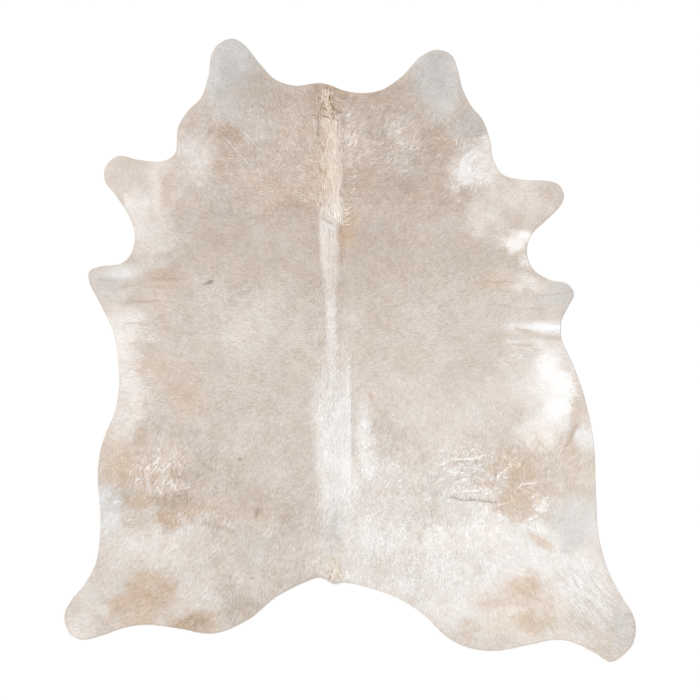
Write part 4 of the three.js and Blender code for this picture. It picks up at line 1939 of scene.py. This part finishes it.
@dataclass
class RaisedHair:
    """Hair that stands up a little in wavy lines: curls, bars, pale lines and crevices.

    Rises are in millimetres, and a pale line's rise is a base and a gain with its light.
    """

    streaks: tuple[Streak, ...]
    relief: Relief
    pattern: CoatPattern
    outline: Outline
    tan: tuple = (1.0, 0.66, 0.38)
    per_metre: float = 340.0
    strand: float = 22.0 * MM
    edge_gap: float = 1.5 * MM
    darkest: float = -0.1
    full_light: float = 0.08
    dark_rise: float = 2.4
    pale_rise: tuple = (1.2, 14.0)
    wave: float = 0.7 * MM
    wave_turns: float = 1.4
    root_gap: float = 0.4 * MM
    bright_width: float = 1.25
    coat_tan: float = 0.56
    root_shade: float = 0.02
    rings: int = 4
    seed: int = 77

    def build(self) -> Piece:
        """Lays strands along every pale line, and along the darkest ones.

        Returns:
            The piece.
        """
        rng = np.random.default_rng(self.seed)
        # The darkest lines are the crevices and creases, so their dark strands are partly painted shade.
        shown = [streak for streak in self.streaks if streak.light > 0 or streak.light <= self.darkest]
        made = [self._line(streak, rng) for streak in shown]
        spine, width, gain, tan = (np.concatenate(part) for part in zip(*made))
        clear = self.outline.inside_by(spine[:, :, 0], spine[:, :, 1]).min(1) > self.edge_gap
        spine, width, gain, tan = (part[clear] for part in (spine, width, gain, tan))
        light, warmth = self.pattern.tone_at(spine[:, 0, 0], spine[:, 0, 1])
        pale = gain > 0
        light = light + np.where(pale, gain, 0.9 * gain)
        warmth = self.coat_tan * warmth * np.where(pale, tan, 1.0) + np.where(pale, 0.0, 1.1 * tan)
        piece = strand_piece("raised_hair", spine, width, light, warmth, self.root_shade)
        piece.data.materials.append(CoatFinish("raised_curls", tan=self.tan).material())
        return piece

    def _line(self, streak: Streak, rng: np.random.Generator) -> tuple[Array, ...]:
        """Lays strands along one line.

        Args:
            streak: the line.
            rng: the source of their random numbers.

        Returns:
            The centre lines, the half widths, and the gains in light and in tan.
        """
        whole = streak.length * MM
        count = max(int(whole * self.per_metre * min(abs(streak.light) / self.full_light, 1.5)), 2)
        share = np.linspace(0, 1, self.rings)[None, :]
        middle = StreakField((streak,))
        reach = min(self.strand, whole) * rng.uniform(0.6, 1.0, (count, 1))
        start = rng.uniform(0, 0.999, count) * (1 - 0.9 * reach[:, 0] / whole)
        pick = (start * len(middle.points)).astype(int)
        turn = middle.turns[pick] + rng.normal(0, 0.02, count) * streak.width
        heading = turn[:, None] + math.radians(streak.bend) * reach / whole * share
        off = rng.normal(0, 0.33, (count, 1)) * streak.width * MM
        step = reach / (self.rings - 1)
        phase = rng.uniform(0, 6.28, (count, 1))
        swing = off + self.wave * np.sin(2 * math.pi * self.wave_turns * share + phase)
        px = middle.points[pick, :1] + (np.cumsum(step * np.cos(heading), 1) - step) - swing * np.sin(heading)
        py = middle.points[pick, 1:] + (np.cumsum(step * np.sin(heading), 1) - step) + swing * np.cos(heading)
        pale = streak.light > 0
        rise = (self.pale_rise[0] + self.pale_rise[1] * streak.light if pale else self.dark_rise) * MM
        pz = self.relief.top_at(px, py) + self.root_gap + rise * np.sin(math.pi * (0.12 + 0.76 * share))
        wider = self.bright_width if streak.light > self.full_light else 1.0
        width = rng.uniform(0.55, 0.9, count) * MM * wider
        tan = float(np.clip(1.0 + 2.2 * streak.warmth, 0.35, 1.0)) if pale else streak.warmth
        gain = streak.light * rng.uniform(0.8, 1.4, count)
        return np.stack([px, py, pz], -1), width, gain, np.full(count, tan)


def strand_piece(
    name: str, spine: Array, width: Array, light: Array, warmth: Array, root_shade: float
) -> Piece:
    """Makes closed three-sided strands that taper to a point.

    Args:
        name: the piece's name.
        spine: the centre lines, as strand, ring and place.
        width: each strand's half width.
        light: how light each strand is.
        warmth: how tan each strand is.
        root_shade: how much darker the root is than the tip.

    Returns:
        The piece.
    """
    count, rings, _ = spine.shape
    run = np.gradient(spine, axis=1)
    flat = run[:, :, :2] / np.maximum(np.linalg.norm(run[:, :, :2], axis=2, keepdims=True), 1e-9)
    aside = np.concatenate([-flat[:, :, 1:], flat[:, :, :1], np.zeros((count, rings, 1))], 2)
    taper = 0.7 + 0.3 * np.sin(math.pi * np.arange(rings - 1) / (rings - 1))
    half = width[:, None, None] * taper[None, :, None]
    up = np.array([0.0, 0.0, 1.0])
    body, aside = spine[:, :-1], aside[:, :-1] * half
    sides = [body + aside - up * half * 0.20, body - aside - up * half * 0.20, body + up * half * 0.40]
    vertices = np.concatenate([np.stack(sides, 2).reshape(count, -1, 3), spine[:, -1:]], 1)
    per = vertices.shape[1]
    faces = [(0, 1, 2)]
    for a in range(0, 3 * rings - 6, 3):
        for i, j in ((0, 1), (1, 2), (2, 0)):
            faces += [(a + i, a + 3 + i, a + 3 + j), (a + i, a + 3 + j, a + j)]
    last = 3 * (rings - 2)
    faces += [(last, per - 1, last + 1), (last + 1, per - 1, last + 2), (last + 2, per - 1, last)]
    triangles = (np.arange(count)[:, None, None] * per + np.array(faces)[None]).reshape(-1, 3)
    ring_share = np.append(np.repeat(np.arange(rings - 1), 3), rings - 1) / (rings - 1)
    spread = np.append(np.tile([-0.012, 0.012, 0.0], rings - 1), 0.0)
    back_gain = np.append(np.tile([0.0, 0.0, 0.008], rings - 1), 0.0)
    u = light[:, None] + back_gain[None, :] - root_shade * (1 - ring_share)[None, :] ** 2
    places = tone_map(u, warmth[:, None] + spread[None, :]).reshape(-1, 2)
    return mesh_object(name, vertices.reshape(-1, 3), triangles, places[triangles])


@dataclass(frozen=True)
class Studio:
    """A pale floor, even soft light from the upper left, and a camera straight above."""

    camera_height: float = 9.0
    camera_shift: float = 0.0004
    view_width: float = 2.8270
    sensor: float = 36.0
    sky: float = 0.69
    sun: float = 1.62
    sun_blur: float = 22.0
    sun_heading: tuple = (0.45, -0.40, -0.80)
    floor_size: float = 60.0
    floor_drop: float = 0.0006

    def build(self) -> None:
        """Makes the floor, the lights and the camera."""
        scene = bpy.context.scene
        bpy.ops.mesh.primitive_plane_add(size=self.floor_size, location=(0.0, 0.0, -self.floor_drop))
        floor = bpy.context.object
        floor.name = "studio_floor"
        floor.data.materials.append(FloorFinish().material())
        scene.world = bpy.data.worlds.new("studio")
        scene.world.use_nodes = True
        background = scene.world.node_tree.nodes["Background"]
        background.inputs["Color"].default_value = (1.0, 1.0, 1.0, 1.0)
        background.inputs["Strength"].default_value = self.sky
        lamp = bpy.data.lights.new("key", "SUN")
        lamp.energy = self.sun
        lamp.angle = math.radians(self.sun_blur)
        key = bpy.data.objects.new("key", lamp)
        key.rotation_euler = Vector(self.sun_heading).to_track_quat("-Z", "Y").to_euler()
        lens = bpy.data.cameras.new("overhead")
        lens.sensor_width = self.sensor
        lens.lens = self.sensor * self.camera_height / self.view_width
        lens.clip_end = 200.0
        camera = bpy.data.objects.new("overhead", lens)
        camera.location = (0.0, self.camera_shift, self.camera_height)
        for part in (key, camera):
            scene.collection.objects.link(part)
        scene.camera = camera
        scene.view_settings.view_transform = "Standard"


def main() -> None:
    """Builds the rug and the studio, and declares each piece."""
    logging.basicConfig(level=logging.INFO, format="%(name)s: %(message)s", stream=sys.stdout)
    bpy.ops.object.select_all(action="DESELECT")
    Studio().build()
    outline = Outline(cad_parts["hide"])
    pattern = CoatPattern()
    relief = Relief()
    ridges = RIDGES + PALE_LINES + CrestRungs().streaks() + curls_of(CURL_BEDS)
    skin = Hide(outline, relief, pattern).build()
    pieces = [
        skin,
        *HairCoat(outline, relief, pattern, StreakField(ridges), HairFlow()).build(),
        LongLocks("neck_crest", CREST_LOCKS, relief, outline).build(),
        LongLocks("tail_tuft", TAIL_LOCKS, relief, outline, tan=(1.0, 0.835, 0.640), seed=92).build(),
        LongLocks("leg_hair", LEG_LOCKS, relief, outline, seed=93).build(),
        RaisedHair(ridges + CREVICE_BROWN_AND_SHADE + FLANK_CREASE_SHADE_AND_MARK, relief, pattern, outline).build(),
    ]
    for piece in pieces:
        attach(piece, "root")
        LOG.info("%s: %d triangles", piece.name, len(piece.data.polygons))
    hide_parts("hide")


if __name__ == "__main__":
    main()
